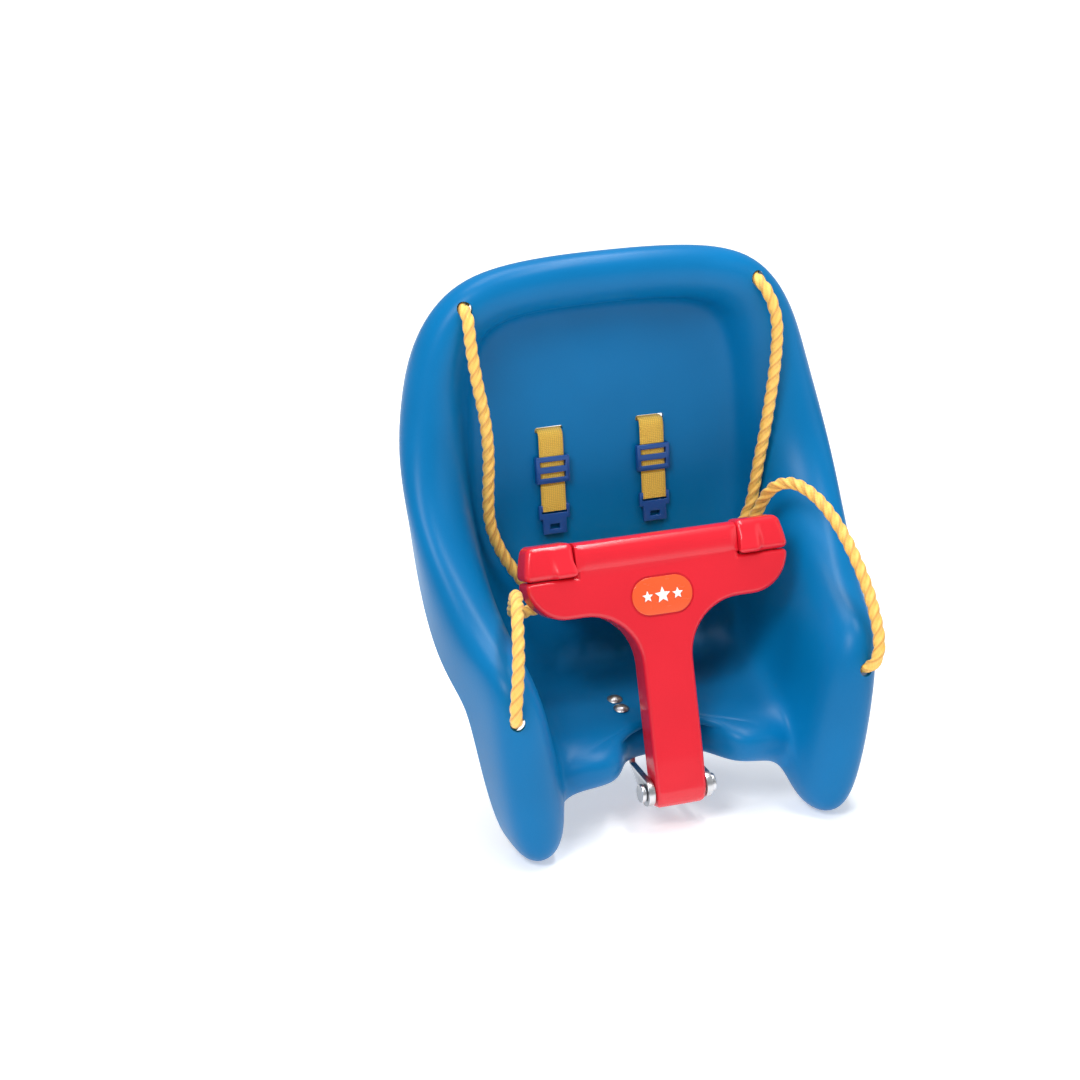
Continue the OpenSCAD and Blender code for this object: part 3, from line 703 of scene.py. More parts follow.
def hank_turns():
    """One coil: two turns inwards on its upper layer, two outwards on its lower one."""
    half, points = HANK_STRAIGHT / 2, []

    def run(u0, u1, v, w, steps=6):
        for k in range(steps):
            points.append((u0 + (u1 - u0) * k / steps, v, w))

    def bend(end, r0, r1, w0, w1, steps=9):
        start = math.pi / 2 if end < 0 else -math.pi / 2
        for k in range(steps):
            t = k / steps
            a, r = start + math.pi * t, r0 + (r1 - r0) * t
            points.append((end * half + r * math.cos(a), r * math.sin(a),
                           w0 + (w1 - w0) * t))

    for turn, w in ((0, UPPER_LAYER), (1, UPPER_LAYER), (2, LOWER_LAYER), (3, LOWER_LAYER)):
        r = OUTER_TURN if turn in (0, 3) else INNER_TURN
        run(half, -half, r, w)
        bend(-1, r, r, w, w)
        if turn == 1:
            for k in range(12):
                t = k / 12
                lift = 9 * (1 - math.cos(2 * math.pi * min(1, max(0, (t * 116 - 20) / 96))))
                points.append((-half + 116 * t, -r + lift,
                               w - (UPPER_LAYER - LOWER_LAYER) * (3 * t * t - 2 * t**3)))
        else:
            run(-half, half, -r, w)
        if turn < 3:
            after = INNER_TURN if turn < 2 else OUTER_TURN
            bend(1, r, after if turn != 1 else r, w if turn == 0 else LOWER_LAYER,
                 w if turn == 0 else LOWER_LAYER)
    points.append((half, -OUTER_TURN, LOWER_LAYER))
    return points


def rope_route(side, step):
    back, front = LEGS[side]
    coil = [tuple(hank_place(side, *p)) for p in hank_turns()]
    whole = list(back[:-1]) + coil + list(front[-2::-1])
    return eased(curve_through([at(*p) for p in whole], step), 6)


# ----- camera and ropes ----------------------------------------------------------------

def set_camera():
    data = bpy.data.cameras.new("Camera")
    camera = bpy.data.objects.new("Camera", data)
    bpy.context.scene.collection.objects.link(camera)
    right = Vector((0.94146, -0.33697, -0.01022))
    up = Vector((0.12838, 0.33030, 0.93511))
    back = right.cross(up)
    turn = Matrix((right, up, back)).transposed().to_4x4()
    camera.matrix_world = Matrix.Translation((-0.8943, -2.3158, 0.6937)) @ turn
    data.sensor_width = 36.0
    data.lens = 91.4
    data.clip_end = 60.0
    bpy.context.scene.camera = camera


CORE_SHARE, STRAND_SHARE = 2.2 / 12, 3.8 / 12    # of the rope's diameter


def strand_radius(turn, core, strand):
    """Distance from the rope's middle line to the surface of its three strands."""
    off = (turn + math.pi / 3) % (2 * math.pi / 3) - math.pi / 3
    return core * math.cos(off) + math.sqrt(strand**2 - (core * math.sin(off))**2)


def twisted_tube(name, route, diameter, lay, around=24):
    """A rope of three strands that turn round its middle line, closed at both ends."""
    core, strand = diameter * CORE_SHARE, diameter * STRAND_SHARE
    points, runs = [], runs_along(route)
    for (place, normal, other), run in zip(sections(route), runs):
        twist = 2 * math.pi * run / lay
        for k in range(around):
            a = 2 * math.pi * k / around
            r = strand_radius(a, core, strand)
            points.append(place + r * (normal * math.cos(a + twist)
                                       + other * math.sin(a + twist)))
    piece = mesh_piece(name, points, tube_faces(len(route), around))
    layer = piece.data.uv_layers.new(name="UVMap")
    for face in piece.data.polygons:
        cap = len(face.vertices) > 4
        for loop, vertex in zip(face.loop_indices, face.vertices):
            k, i = vertex % around, vertex // around
            wrap = not cap and k == 0 and any(v % around == around - 1 for v in face.vertices)
            layer.data[loop].uv = ((around if wrap else k) / around, runs[i])
    return smooth(piece, 60.0)


class SWING_OT_ropes(bpy.types.Operator):
    """Make the two twisted ropes, each with its two legs and its stored hank"""
    bl_idname = "swing.ropes"
    bl_label = "Ropes"

    def execute(self, context):
        sizes = context.scene.swing_sizes
        for side, word in SIDE_NAMES.items():
            route = rope_route(side, 0.0026)
            rope = twisted_tube(word + "_rope", route, sizes.rope_diameter, sizes.rope_lay)
            finish_piece(rope, "seat", "rope", MATERIALS["rope"], word + "_rope_back_leg",
                         word + "_rope_front_leg", word + "_rope_hank")
            knots = []
            for end, place in (("upper", (side * 147, 259, 478)),
                               ("lower", (side * 168, 51, 152))):
                knots.append(make_knot(f"{word}_{end}_rope_knot", at(*place), side, sizes))
                finish_piece(knots[-1], "seat", "rope", MATERIALS["rope"],
                             f"{word}_{end}_knot")
            steel = finish_piece(softened(word + "_steel_ring", word + "_hanging_ring",
                                          0.0015, 20.0), "seat", "steel",
                                 MATERIALS["steel"], word + "_hanging_ring")
            tie = finish_piece(softened(word + "_tie_band", word + "_hank_tie", 0.0004),
                               "seat", "nylon", MATERIALS["nylon"], word + "_hank_tie")
            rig.cord(rope, exit=route[0], length=round(route_length(route), 2),
                    diameter=sizes.rope_diameter, far_end="object", stiffness="limp",
                    lay="coiled", path=route, with_pieces=knots + [steel, tie])
        return {"FINISHED"}


def make_knot(name, place, side, sizes):
    """A simple stopper knot, pulled tight behind the wall."""
    loop = []
    for k in range(90):
        a = 2 * math.pi * k / 90
        loop.append(place + MM * Vector((
            side * 4.1 * (math.sin(a) + 1.15 * math.sin(2 * a)),
            5.2 * math.sin(3 * a),
            4.1 * (math.cos(a) - 1.15 * math.cos(2 * a)))))
    loop.append(loop[0].copy())
    return twisted_tube(name, resampled(loop, 0.0016), 0.80 * sizes.rope_diameter,
                        sizes.rope_lay, around=18)


# ----- seat shell ----------------------------------------------------------------------

UPPER_HOLE, LOWER_HOLE = (147, 240, 478), (171, 36, 152)
STRAP_X, SLOT_Y, SLOT_Z = 52, 277.9, 338

# Control ribs of the shell's right half, from the top centre round to the middle of the
# front lip. Each rib runs from the middle of the seat over the rim to the skirt's end.
RIBS = [
    [(0,284,400),(0,286,425),(0,287,445),(0,284,461),(0,270,467),(0,251,469),(0,238,488),
     (0,243,511),(0,261,513),(0,276,504)],
    [(0,284,392),(25,286,422),(50,287,444),(62,284,460),(66,270,466),(70,251,468),(73,238,487),
     (76,243,510),(77,261,512),(75,276,503)],
    [(0,284,375),(40,286,405),(84,287,436),(108,284,451),(116,270,457),(122,251,460),
     (136,238,477),(146,243,497),(149,261,500),(145,276,491)],
    [(0,284,345),(54,285,370),(102,285,402),(130,281,420),(138,267,424),(147,249,428),
     (167,237,438),(182,242,449),(187,261,451),(183,276,444)],
    [(0,281,310),(60,282,330),(110,282,355),(136,277,368),(145,261,372),(156,243,376),
     (180,230,384),(197,237,391),(202,257,394),(197,272,390)],
    [(0,274,272),(60,275,288),(112,275,304),(138,270,314),(147,252,318),(159,230,322),
     (186,215,328),(208,222,337),(213,242,343),(203,258,342)],
    [(0,271,232),(60,271,242),(112,269,252),(138,261,260),(148,238,268),(161,203,276),
     (186,186,282),(209,189,289),(214,208,293),(206,230,288)],
    [(0,269,190),(60,267,194),(108,261,200),(133,247,208),(146,205,222),(158,157,236),
     (180,144,244),(203,148,246),(209,166,235),(207,190,215)],
    [(0,262,150),(60,258,150),(106,248,154),(130,230,162),(144,175,185),(153,111,204),
     (174,99,211),(195,102,206),(203,121,194),(204,148,171)],
    [(0,235,122),(60,228,120),(104,215,120),(127,190,126),(139,130,158),(147,67,182),(165,53,194),
     (184,54,194),(192,72,182),(197,106,151)],
    [(0,200,111),(60,190,110),(102,175,110),(123,150,114),(134,95,136),(141,48,154),(160,33,168),
     (181,34,169),(188,54,159),(193,97,134)],
    [(0,165,104),(60,155,103),(100,135,101),(120,110,103),(129,75,110),(136,42,116),(157,31,120),
     (179,34,118),(185,56,112),(187,92,100)],
    [(0,134,98),(60,120,97),(98,105,95),(117,88,92),(125,66,80),(130,42,66),(150,30,64),
     (171,33,62),(177,56,60),(178,87,52)],
    [(0,131,97),(58,105,93),(96,92,90),(115,80,82),(122,66,60),(126,46,30),(140,34,8),(157,38,0),
     (162,58,0),(162,84,5)],
    [(0,130,96),(56,96,91),(94,84,87),(112,76,76),(119,70,56),(122,62,36),(124,61,16),(128,70,4),
     (134,82,2),(139,92,6)],
    [(0,129,95),(56,102,91),(90,77,85),(107,74,74),(114,76,60),(117,81,49),(119,86,40),
     (121,91,34),(124,95,33),(127,98,36)],
    [(0,129,94),(54,98,90),(78,72,84),(92,70,75),(98,73,66),(100,77,60),(101,81,56),(102,85,54),
     (103,89,54),(104,92,55)],
    [(0,129,93),(50,102,89),(56,74,83),(57,66,74),(59,66,67),(59,69,62),(59,73,59),(59,77,58),
     (59,80,58),(59,83,59)],
    [(0,130,93),(40,124,90),(43,119,83),(43,117,74),(43,117,67),(43,119,62),(44,121,59),
     (46,124,58),(48,127,58),(50,130,59)],
    [(0,131,93),(0,127,91),(0,121,84),(0,119,77),(0,119,70),(0,121,65),(0,123,62),(0,126,60),
     (0,129,60),(0,132,61)]]


class SWING_OT_shell(bpy.types.Operator):
    """Shape the seat shell from its ribs, give it a wall and pierce its holes"""
    bl_idname = "swing.shell"
    bl_label = "Seat shell"

    def execute(self, context):
        sizes = context.scene.swing_sizes
        rows, columns = len(RIBS), len(RIBS[0])
        deselect()
        bpy.ops.mesh.primitive_grid_add(x_subdivisions=rows - 1, y_subdivisions=columns - 1)
        shell = named("shell_skin")
        order = sorted(shell.data.vertices, key=lambda v: (round(v.co.x, 4), round(v.co.y, 4)))
        for vertex, place in zip(order, [p for rib in RIBS for p in rib]):
            vertex.co = at(*place)
        modify(shell, "MIRROR", use_axis=(True, False, False), use_clip=True,
               merge_threshold=1e-5)
        in_edit(shell, (bpy.ops.mesh.remove_doubles, {"threshold": 1e-5}))
        modify(shell, "SUBSURF", levels=3, render_levels=3)
        in_edit(shell, (bpy.ops.mesh.remove_doubles, {"threshold": 1e-5}),
                (bpy.ops.mesh.normals_make_consistent, {"inside": False}))
        front = min(shell.data.polygons, key=lambda f: (f.center - at(60, 155, 103)).length)
        if front.normal.z < 0:
            in_edit(shell, (bpy.ops.mesh.flip_normals, {}))
        modify(shell, "SOLIDIFY", thickness=sizes.shell_wall, offset=1.0,
               use_even_offset=False, use_rim=True)
        for side in (LEFT, RIGHT):
            for (x, y, z), turn in ((UPPER_HOLE, 0), (LOWER_HOLE, 14)):
                cut(shell, cylinder(sizes.rope_hole, 0.034, at(side * x, y, z),
                                    (math.pi / 2, 0, side * math.radians(turn))))
            slot = block((0.029, 0.030, 0.006), at(side * STRAP_X, SLOT_Y, SLOT_Z))
            modify(slot, "BEVEL", width=0.0025, segments=4, affect="EDGES")
            cut(shell, slot)
        smooth(shell, 50.0)
        finish_piece(shell, "seat", "shell_plastic", MATERIALS["shell"], "seat_shell")
        return {"FINISHED"}


# ----- T-bar ---------------------------------------------------------------------------

PIVOT = Vector((0, 76, 40))
BAR_LEAN = math.radians(17.5)
STEM_HALF, BAR_HALF, REACH, BAR_TOP = 25.0, 130.5, 173.0, 242.0
FRONT, REAR = 17.5, 10.5
FILLET, END_RADIUS, FOOT = 52.0, 38.0, 16.0
COVER_IN, COVER_LOW, COVER_WIDE = 80.5, 211.0, 50.0
CORE_FRONT, CORE_BACK, CORE_GAP = 11.3, 7.0, 3.4
PIN_Y, PIN_Z = REAR - 6, BAR_TOP - 9
BUTTON_IN, BUTTON_Z = 22.5, COVER_LOW + 9
BADGE_Z = REACH + 11


def on_bar(x, y, z):
    """A place given along the T-bar, with its pivot as zero, in the frame's metres."""
    turned = Matrix.Rotation(-BAR_LEAN, 3, "X") @ Vector((x, y, z))
    return at(*(PIVOT + turned))


def lean(piece):
    """Stands a piece that was made upright at the pivot into the T-bar's place."""
    only(piece)
    piece.matrix_world = Matrix.Translation(at(*PIVOT)) @ Matrix.Rotation(-BAR_LEAN, 4, "X")
    return settle(piece)


def bar_outline():
    """Right half of the T-bar's outline, from the foot up to the crossbar's top."""
    points = [(STEM_HALF - 2, -FOOT), (STEM_HALF, 0.0), (STEM_HALF, 40.0)]
    for k in range(13):
        a = math.radians(180 - 90 * k / 12)
        points.append((STEM_HALF + FILLET + FILLET * math.cos(a),
                       REACH - FILLET + FILLET * math.sin(a)))
    for k in range(13):
        a = math.radians(-90 + 90 * k / 12)
        points.append((BAR_HALF - END_RADIUS + END_RADIUS * math.cos(a),
                       REACH + END_RADIUS + END_RADIUS * math.sin(a)))
    points += [(COVER_IN, COVER_LOW), (COVER_IN, BAR_TOP - 2)]
    return [p for i, p in enumerate(points) if i == 0 or p != points[i - 1]]


def extruded(name, outline, back, front):
    """A slab with this outline, from its back to its front, made upright."""
    deselect()
    bpy.ops.mesh.primitive_plane_add(size=0.01)
    slab = named(name)
    work = bmesh.new()
    work.faces.new([work.verts.new((x * MM, back * MM, z * MM)) for x, z in outline])
    work.to_mesh(slab.data)
    work.free()
    in_edit(slab, (bpy.ops.mesh.extrude_region_move, {
        "TRANSFORM_OT_translate": {"value": (0, -(front + back) * MM, 0)}}))
    return in_edit(slab, (bpy.ops.mesh.normals_make_consistent, {"inside": False}))


def round_foot(bar):
    """Rounds the stem's foot into a boss for the rod, seen from the side."""
    for z in (34, 26, 19, 14, 12, 9, 6, 3, 0, -3, -6, -9, -11.5, -13.5, -15):
        in_edit(bar, (bpy.ops.mesh.bisect, {"plane_co": (0, 0, z * MM), "plane_no": (0, 0, 1)}))
    for vertex in bar.data.vertices:
        x, y, z = vertex.co / MM
        if z > 34.5:
            continue
        half = math.sqrt(max(FOOT ** 2 - z ** 2, 2.0))
        front = half if z < 0 else FOOT + (FRONT - FOOT) * z / 34
        back = max(half, REAR) if z > 0 else half
        middle, old = (back - front) / 2, (REAR - FRONT) / 2
        y = middle + (y - old) * (back + front) / (REAR + FRONT)
        vertex.co = Vector((x, y, z)) * MM


# Section of the top lip as (y, z), from its crease over to the back of the bar.
LIP_PROFILE = [(-15.0, 214.0), (-17.5, 215.5), (-18.6, 217.5), (-19.3, 220.5), (-19.7, 225.0),
               (-19.6, 230.0), (-18.9, 234.5), (-17.0, 238.5), (-13.5, 241.3), (-8.0, 242.3),
               (0.0, 242.0), (5.0, 241.0), (8.5, 238.5), (10.3, 234.0), (10.3, 214.0)]
LIP_END = -17.2                       # how far forward the lip's ends are let stand


def make_lip(name, half, soft):
    """The rolled lip along the crossbar's top, run out softly at both ends."""
    stations = [(-half, 0.0), (-half + 0.5 * soft, 0.75), (-half + soft, 1.0),
                (half - soft, 1.0), (half - 0.5 * soft, 0.75), (half, 0.0)]
    points = [MM * Vector((x, max(y, LIP_END) * (1 - full) + y * full, z))
              for x, full in stations for y, z in LIP_PROFILE]
    lip = mesh_piece(name, points, tube_faces(len(stations), len(LIP_PROFILE)))
    return in_edit(lip, (bpy.ops.mesh.normals_make_consistent, {"inside": False}))


class SWING_OT_bar(bpy.types.Operator):
    """Model the T-shaped bar: stem, crossbar, rolled lip, cores and pockets"""
    bl_idname = "swing.bar"
    bl_label = "T-bar"

    def execute(self, context):
        sizes = context.scene.swing_sizes
        half = bar_outline()
        outline = half + [(-x, z) for x, z in half[::-1]]
        bar = extruded("red_bar", outline, REAR, FRONT)
        modify(bar, "BEVEL", width=sizes.bar_edge, segments=6, limit_method="ANGLE",
               angle_limit=math.radians(50), use_clamp_overlap=True)
        round_foot(bar)
        cut(bar, make_lip("lip", COVER_IN - 0.1, 9.0), "UNION")
        for side in (LEFT, RIGHT):
            low, high, wide = COVER_LOW - 4, BAR_TOP - CORE_GAP, COVER_WIDE - 2 * CORE_GAP - 5
            core = block(MM * Vector((wide, CORE_FRONT + CORE_BACK, high - low)),
                         MM * Vector((side * (COVER_IN + CORE_GAP + wide / 2),
                                      (CORE_BACK - CORE_FRONT) / 2, (high + low) / 2)))
            modify(core, "BEVEL", width=0.0008, segments=2, limit_method="ANGLE")
            cut(bar, core, "UNION")
            middle = side * (COVER_IN + BUTTON_IN)
            for size, place in (((26, 9, 5), (middle, CORE_BACK - 3.5, BUTTON_Z)),
                                ((16.8, 10, 9.8), (middle, -CORE_FRONT + 4, BUTTON_Z))):
                cut(bar, block(MM * Vector(size), MM * Vector(place)))
            cut(bar, cylinder(0.00152, 0.1, MM * Vector((side * 130, PIN_Y, PIN_Z)),
                              (0, math.pi / 2, 0), 24))
        cut(bar, cylinder(0.007, 0.06, (0, 0, 0), (0, math.pi / 2, 0), 64))
        cut(bar, pill("groove", 63.6, 38.6, 0.9, 6.0))
        evened(lean(bar), 40.0)
        finish_piece(bar, "tbar", "bar_plastic", MATERIALS["bar"], "tbar")
        return {"FINISHED"}


def pill(name, wide, high, deep, out):
    """A rounded plate on the crossbar's face, from below its face to in front of it."""
    r, straight = high / 2, (wide - high) / 2
    ring = []
    for end in (1, -1):
        for k in range(21):
            a = math.pi / 2 - math.pi * k / 20 + (0 if end > 0 else -math.pi)
            ring.append((end * straight + r * math.cos(a), BADGE_Z + r * math.sin(a)))
    return extruded(name, ring, -FRONT + deep, FRONT + out)


class SWING_OT_badge(bpy.types.Operator):
    """Set the plain badge with its three stars into the crossbar"""
    bl_idname = "swing.badge"
    bl_label = "Badge"

    def execute(self, context):
        plate = pill("badge_plate", 60, 35, 0.95, 0.9)
        modify(plate, "BEVEL", width=0.0007, segments=4, limit_method="ANGLE",
               angle_limit=math.radians(50))
        smooth(lean(plate), 40.0)
        finish_piece(plate, "tbar", "badge_plastic", MATERIALS["badge"], "tbar_badge")
        stars = softened("star_set", "badge_stars", 0.00025)
        finish_piece(stars, "tbar", "star_plastic", MATERIALS["star"], "badge_stars")
        return {"FINISHED"}


def rounded_block(size, place, radius, cuts=22):
    """A block whose edges and corners are turned to this radius, in fine quads."""
    piece = block(size, place)
    in_edit(piece, (bpy.ops.mesh.subdivide, {"number_cuts": cuts}))
    half, middle = Vector(size) / 2 - Vector((radius,) * 3), Vector(place)
    for vertex in piece.data.vertices:
        out = vertex.co - middle
        core = Vector([max(-h, min(h, v)) for v, h in zip(out, half)])
        vertex.co = middle + core + (out - core).normalized() * radius
    return piece


def soft_step(t):
    t = max(0.0, min(1.0, t))
    return t * t * (3 - 2 * t)


def cover_shape(name, side):
    """A flared cap over one end of the crossbar, with a bell-shaped tab at its inner end."""
    low, high, inner, outer = COVER_LOW + 1.0, BAR_TOP + 1.6, COVER_IN + 0.6, BAR_HALF + 0.8
    cap = rounded_block(MM * Vector((outer - inner, 29.6, high - low)),
                        MM * Vector(((outer + inner) / 2, -3.8, (high + low) / 2)), 0.0058)
    for vertex in cap.data.vertices:
        x, y, z = vertex.co / MM
        up = (z - low) / (high - low)
        ahead = soft_step((4.0 - y) / 18.0)
        bell = soft_step((x - inner) / 3.0) * soft_step((inner + 25.0 - x) / 7.0)
        y -= ahead * (5.2 * (1 - up) ** 1.4 * bell + 1.0 * (1 - up) ** 2)
        y += ahead * 2.6 * up ** 2
        x -= (4.0 * (1 - up) ** 1.6 * soft_step((inner + 9.0 - x) / 9.0)
              * soft_step((-18.5 - y) / 3.0))
        x -= 6.0 * soft_step((x - inner - 22.0) / 27.0) * up ** 1.6
        y -= 0.8 * soft_step((y - 6.0) / 4.0) * up
        vertex.co = Vector((x, y, z)) * MM
    for middle, wide in ((inner + 15.0, 11.0), (inner + 33.0, 12.0)):
        notch = block(MM * Vector((wide, 9.0, 5.0)), MM * Vector((middle, 9.0, high + 0.4)))
        modify(notch, "BEVEL", width=0.0009, segments=3)
        cut(cap, notch)
    cut(cap, block(MM * Vector((41.8, 23.4, 36.0)),
                   MM * Vector((COVER_IN + 3.0 + 20.9, -2.0, BAR_TOP - 2.8 - 18.0))))
    cut(cap, cylinder(0.00156, 0.06, MM * Vector((COVER_IN + 25, PIN_Y, PIN_Z)),
                      (0, math.pi / 2, 0), 24))
    cap.name = name
    cap.data.name = name
    if side == LEFT:
        only(cap)
        cap.scale = (-1, 1, 1)
        settle(cap)
        in_edit(cap, (bpy.ops.mesh.flip_normals, {}))
    return evened(lean(cap), 35.0)


class SWING_OT_covers(bpy.types.Operator):
    """Model the two hinged buckle covers"""
    bl_idname = "swing.covers"
    bl_label = "Buckle covers"

    def execute(self, context):
        for side, word in SIDE_NAMES.items():
            cover = cover_shape(word + "_cover_cap", side)
            finish_piece(cover, word + "_cover", "bar_plastic", MATERIALS["bar"],
                         word + "_buckle_cover")
        return {"FINISHED"}


# ----- small parts ---------------------------------------------------------------------

# Each row: piece, CAD node, body, slot, finish, edge in metres.
SMALL_PARTS = [
    ("bracket_plate", "pivot_bracket", "seat", "steel", "steel", 0.0008),
    ("carriage_bolts", "bracket_bolts", "seat", "steel", "steel", 0.0005),
    ("hinge_rod", "pivot_rod", "seat", "steel", "steel", 0.0006),
    ("push_caps", "rod_caps", "seat", "steel", "steel", 0.0012),
    ("nylon_bushes", "foot_bushes", "tbar", "nylon", "nylon", 0.0003),
    ("hinge_pins", "cover_pins", "tbar", "steel", "steel", 0.0003),
] + [(f"{word}_{name}", f"{word}_{node}", body.format(word), "buckle_plastic", "buckle", edge)
     for name, node, body, edge in (
         ("button", "release_button", "{}_button", 0.0012),
         ("slider", "strap_adjuster", "{}_adjuster", 0.0010),
         ("tongue", "buckle_tongue", "seat", 0.0009)) for word in SIDE_NAMES.values()]
COIL_R, COIL_TURNS = 1.9, 4.5


class SWING_OT_small_parts(bpy.types.Operator):
    """Round the edges of the bracket, bolts, rod, bushes, buttons and sliders"""
    bl_idname = "swing.small_parts"
    bl_label = "Small parts"

    def execute(self, context):
        for name, node, body, slot, finish, edge in SMALL_PARTS:
            finish_piece(softened(name, node, edge), body, slot, MATERIALS[finish], node)
        for side, word in SIDE_NAMES.items():
            coil = []
            for k in range(121):
                t = k / 120
                a = 2 * math.pi * COIL_TURNS * t
                coil.append(on_bar(side * (COVER_IN + BUTTON_IN) + COIL_R * math.cos(a),
                                   -7.3 + 0.35 + 4.3 * t, BUTTON_Z + COIL_R * math.sin(a)))
            spring = round_wire(word + "_coil_spring", coil, 0.0007)
            finish_piece(spring, "tbar", "steel", MATERIALS["steel"],
                         word + "_button_spring")
        return {"FINISHED"}


def round_wire(name, route, diameter, around=8):
    points = [place + diameter / 2 * (normal * math.cos(2 * math.pi * k / around)
                                      + other * math.sin(2 * math.pi * k / around))
              for place, normal, other in sections(route) for k in range(around)]
    return smooth(mesh_piece(name, points, tube_faces(len(route), around)), 60.0)


# ----- harness -------------------------------------------------------------------------

PANEL_TILT = math.atan2(11.5, 102.0)


def on_panel(x, off, z):
    """A place in front of the back panel by off, at height z."""
    turned = Matrix.Rotation(-PANEL_TILT, 3, "X") @ Vector((0, -off, z - SLOT_Z))
    return at(x, SLOT_Y + turned.y, SLOT_Z + turned.z)


# Section of a strap, as shares of its width and thickness.
FLAT_OVAL = [(-0.5, 0.0), (-0.47, -0.5), (-0.25, -0.5), (0, -0.5), (0.25, -0.5), (0.47, -0.5),
             (0.5, 0.0), (0.47, 0.5), (0.25, 0.5), (0, 0.5), (-0.25, 0.5), (-0.47, 0.5)]


def ribbon(name, route, across, width, thickness):
    """A strap along a route, with its width along across, and a UV map in metres."""
    n, points, runs = len(FLAT_OVAL), [], runs_along(route)
    for i, place in enumerate(route):
        ahead = route[min(i + 1, len(route) - 1)] - route[max(i - 1, 0)]
        ahead.normalize()
        normal = across.cross(ahead).normalized()
        points += [place + across * (a * width) + normal * (b * thickness)
                   for a, b in FLAT_OVAL]
    strap = mesh_piece(name, points, tube_faces(len(route), n))
    layer = strap.data.uv_layers.new(name="UVMap")
    for face in strap.data.polygons:
        for loop, vertex in zip(face.loop_indices, face.vertices):
            layer.data[loop].uv = (FLAT_OVAL[vertex % n][0] * width, runs[vertex // n])
    in_edit(strap, (bpy.ops.mesh.normals_make_consistent, {"inside": False}))
    return smooth(strap, 60.0)


class SWING_OT_harness(bpy.types.Operator):
    """Thread the shoulder straps through their slots and sew them to the tongues"""
    bl_idname = "swing.harness"
    bl_label = "Harness"

    def execute(self, context):
        sizes = context.scene.swing_sizes
        sideways = Vector((1, 0, 0))
        for side, word in SIDE_NAMES.items():
            x = side * STRAP_X
            line = [at(x, 284.2, 331), at(x, 284.2, 334.5), at(x, 283.2, 337.2),
                    at(x, 280.6, 338), at(x, 277.6, 337.9), at(x, 275.2, 336.6),
                    on_panel(x, 3.9, 332.8), on_panel(x, 4.1, 326), on_panel(x, 4.2, 312),
                    on_panel(x, 4.2, 300), on_panel(x, 4.2, 288), on_panel(x, 4.2, 276),
                    on_panel(x, 4.2, 266), on_panel(x, 4.2, 259)]
            strap = ribbon(word + "_strap", curve_through(line, 0.0015), sideways,
                           sizes.strap_width, sizes.strap_thickness)
            tail = [on_panel(x, 5.9, 259), on_panel(x, 6.2, 263), on_panel(x, 6.05, 270),
                    on_panel(x, 6.0, 277), on_panel(x, 5.95, 284)]
            fold = ribbon(word + "_strap_tail", curve_through(tail, 0.0015), sideways,
                          0.96 * sizes.strap_width, 0.0014)
            only(strap)
            fold.select_set(True)
            bpy.ops.object.join()
            finish_piece(strap, "seat", "webbing", MATERIALS["webbing"],
                         word + "_shoulder_strap")
        run = [at(x, 286.6 + 0.5 * math.sin(x / 21), 331) for x in range(-64, 65, 4)]
        band = ribbon("rear_band", curve_through(run, 0.002), Vector((0, 0, 1)),
                      0.0138, 0.0017)
        finish_piece(band, "seat", "webbing", MATERIALS["webbing"], "rear_strap_run")
        return {"FINISHED"}


# ----- stage ---------------------------------------------------------------------------

def area_light(name, place, target, size, energy):
    data = bpy.data.lights.new(name, "AREA")
    data.shape = "RECTANGLE"
    data.size, data.size_y = size
    data.energy = energy
    light = bpy.data.objects.new(name, data)
    bpy.context.scene.collection.objects.link(light)
    light.location = place
    aim = Vector(target) - Vector(place)
    light.rotation_euler = aim.to_track_quat("-Z", "Y").to_euler()


# Each row: name, place, target, size, energy.
LIGHTS = [
    ("key", (-1.7, -1.7, 2.0), (0, 0.0, -0.2), (1.1, 1.1), 48),
    ("fill", (2.3, -1.6, 0.9), (0, 0.0, -0.2), (1.6, 1.6), 7),
    ("top", (-0.3, 0.5, 2.4), (0, 0.0, -0.2), (1.6, 1.0), 32),
    ("strip", (0.35, -0.15, 1.3), (0, -0.1, -0.25), (1.5, 0.14), 16)]


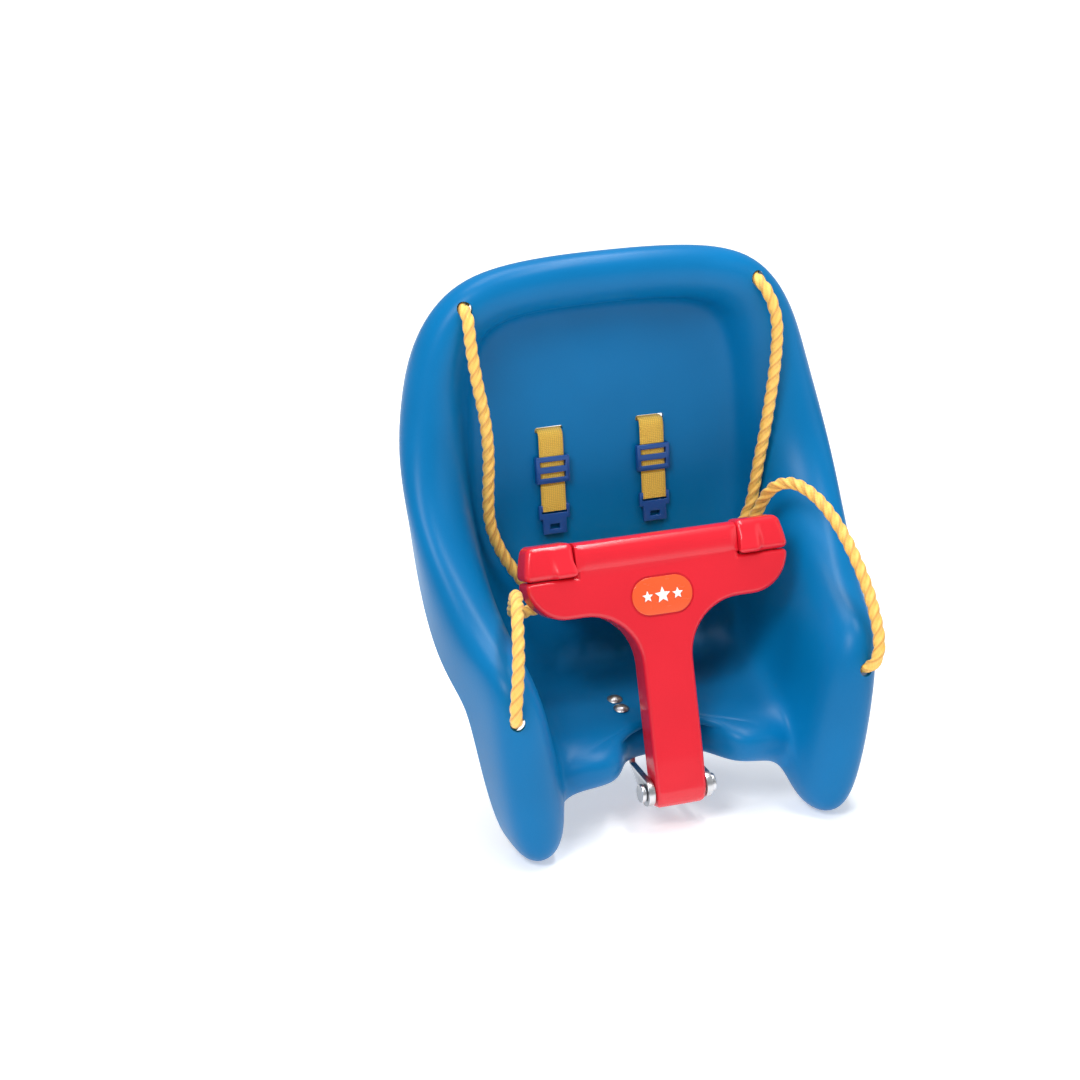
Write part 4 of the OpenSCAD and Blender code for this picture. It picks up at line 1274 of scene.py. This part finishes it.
class SWING_OT_stage(bpy.types.Operator):
    """Lay the pale floor and hang the soft studio lights"""
    bl_idname = "swing.stage"
    bl_label = "Stage"

    def execute(self, context):
        scene = context.scene
        low = min(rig.bounds()[0][2], -0.479) - 0.0005
        deselect()
        bpy.ops.mesh.primitive_plane_add(size=24, location=(0, 0, low))
        floor = settle(named("floor"))
        material, tree, shader = start_material("floor paper")
        w = Wiring(tree)
        coords = tree.nodes.new("ShaderNodeTexCoord")
        tint = scene.swing_colours.floor
        tone = w.mix(w.noise(coords.outputs["Object"], 3.0), tuple(tint),
                     tuple(min(1.0, 1.04 * c) for c in tint))
        tree.links.new(tone, shader.inputs["Base Color"])
        shader.inputs["Roughness"].default_value = 0.85
        shader.inputs["Emission Color"].default_value = (1, 1, 1, 1)
        away = tree.nodes.new("ShaderNodeVectorMath")
        away.operation = "LENGTH"
        tree.links.new(coords.outputs["Object"], away.inputs[0])
        glow = w.spread(away.outputs["Value"], 0.7, 3.0, 0.38, 0.8)
        tree.links.new(glow, shader.inputs["Emission Strength"])
        floor.data.materials.append(material)
        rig.stage(floor)
        for light in LIGHTS:
            area_light(*light)
        world = bpy.data.worlds.new("studio")
        world.use_nodes = True
        world.node_tree.nodes["Background"].inputs[0].default_value = (0.93, 0.96, 1.0, 1)
        world.node_tree.nodes["Background"].inputs[1].default_value = 0.42
        scene.world = world
        scene.view_settings.view_transform = "Standard"
        return {"FINISHED"}


class SWING_PT_panel(bpy.types.Panel):
    """Lists the sizes, the colours and the steps"""
    bl_label = "Bucket swing"
    bl_idname = "SWING_PT_panel"
    bl_space_type = "VIEW_3D"
    bl_region_type = "UI"
    bl_category = "Swing"

    def draw(self, context):
        for group in (context.scene.swing_sizes, context.scene.swing_colours):
            for name in group.bl_rna.properties.keys():
                if name not in ("rna_type", "name"):
                    self.layout.prop(group, name)
        for step in STEPS:
            self.layout.operator(step.bl_idname)


STEPS = (SWING_OT_ropes, SWING_OT_shell, SWING_OT_bar, SWING_OT_badge, SWING_OT_covers,
         SWING_OT_small_parts, SWING_OT_harness, SWING_OT_stage)
CLASSES = (SwingSizes, SwingColours) + STEPS + (SWING_PT_panel,)


def register():
    for item in CLASSES:
        bpy.utils.register_class(item)
    bpy.types.Scene.swing_sizes = PointerProperty(type=SwingSizes)
    bpy.types.Scene.swing_colours = PointerProperty(type=SwingColours)


def unregister():
    del bpy.types.Scene.swing_colours
    del bpy.types.Scene.swing_sizes
    for item in reversed(CLASSES):
        bpy.utils.unregister_class(item)


def as_lists(box):
    return [[float(v) for v in corner] for corner in box]


def main():
    cad_box = as_lists(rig.bounds())
    register()
    set_camera()
    make_materials()
    bpy.ops.swing.ropes()
    bpy.ops.swing.shell()
    bpy.ops.swing.bar()
    bpy.ops.swing.badge()
    bpy.ops.swing.covers()
    bpy.ops.swing.small_parts()
    bpy.ops.swing.harness()
    bpy.ops.swing.stage()
    visual_box = as_lists(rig.bounds())
    with open("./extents.json", "w") as out:
        json.dump({"cad": cad_box, "visual": visual_box}, out)


if __name__ == "__main__":
    main()
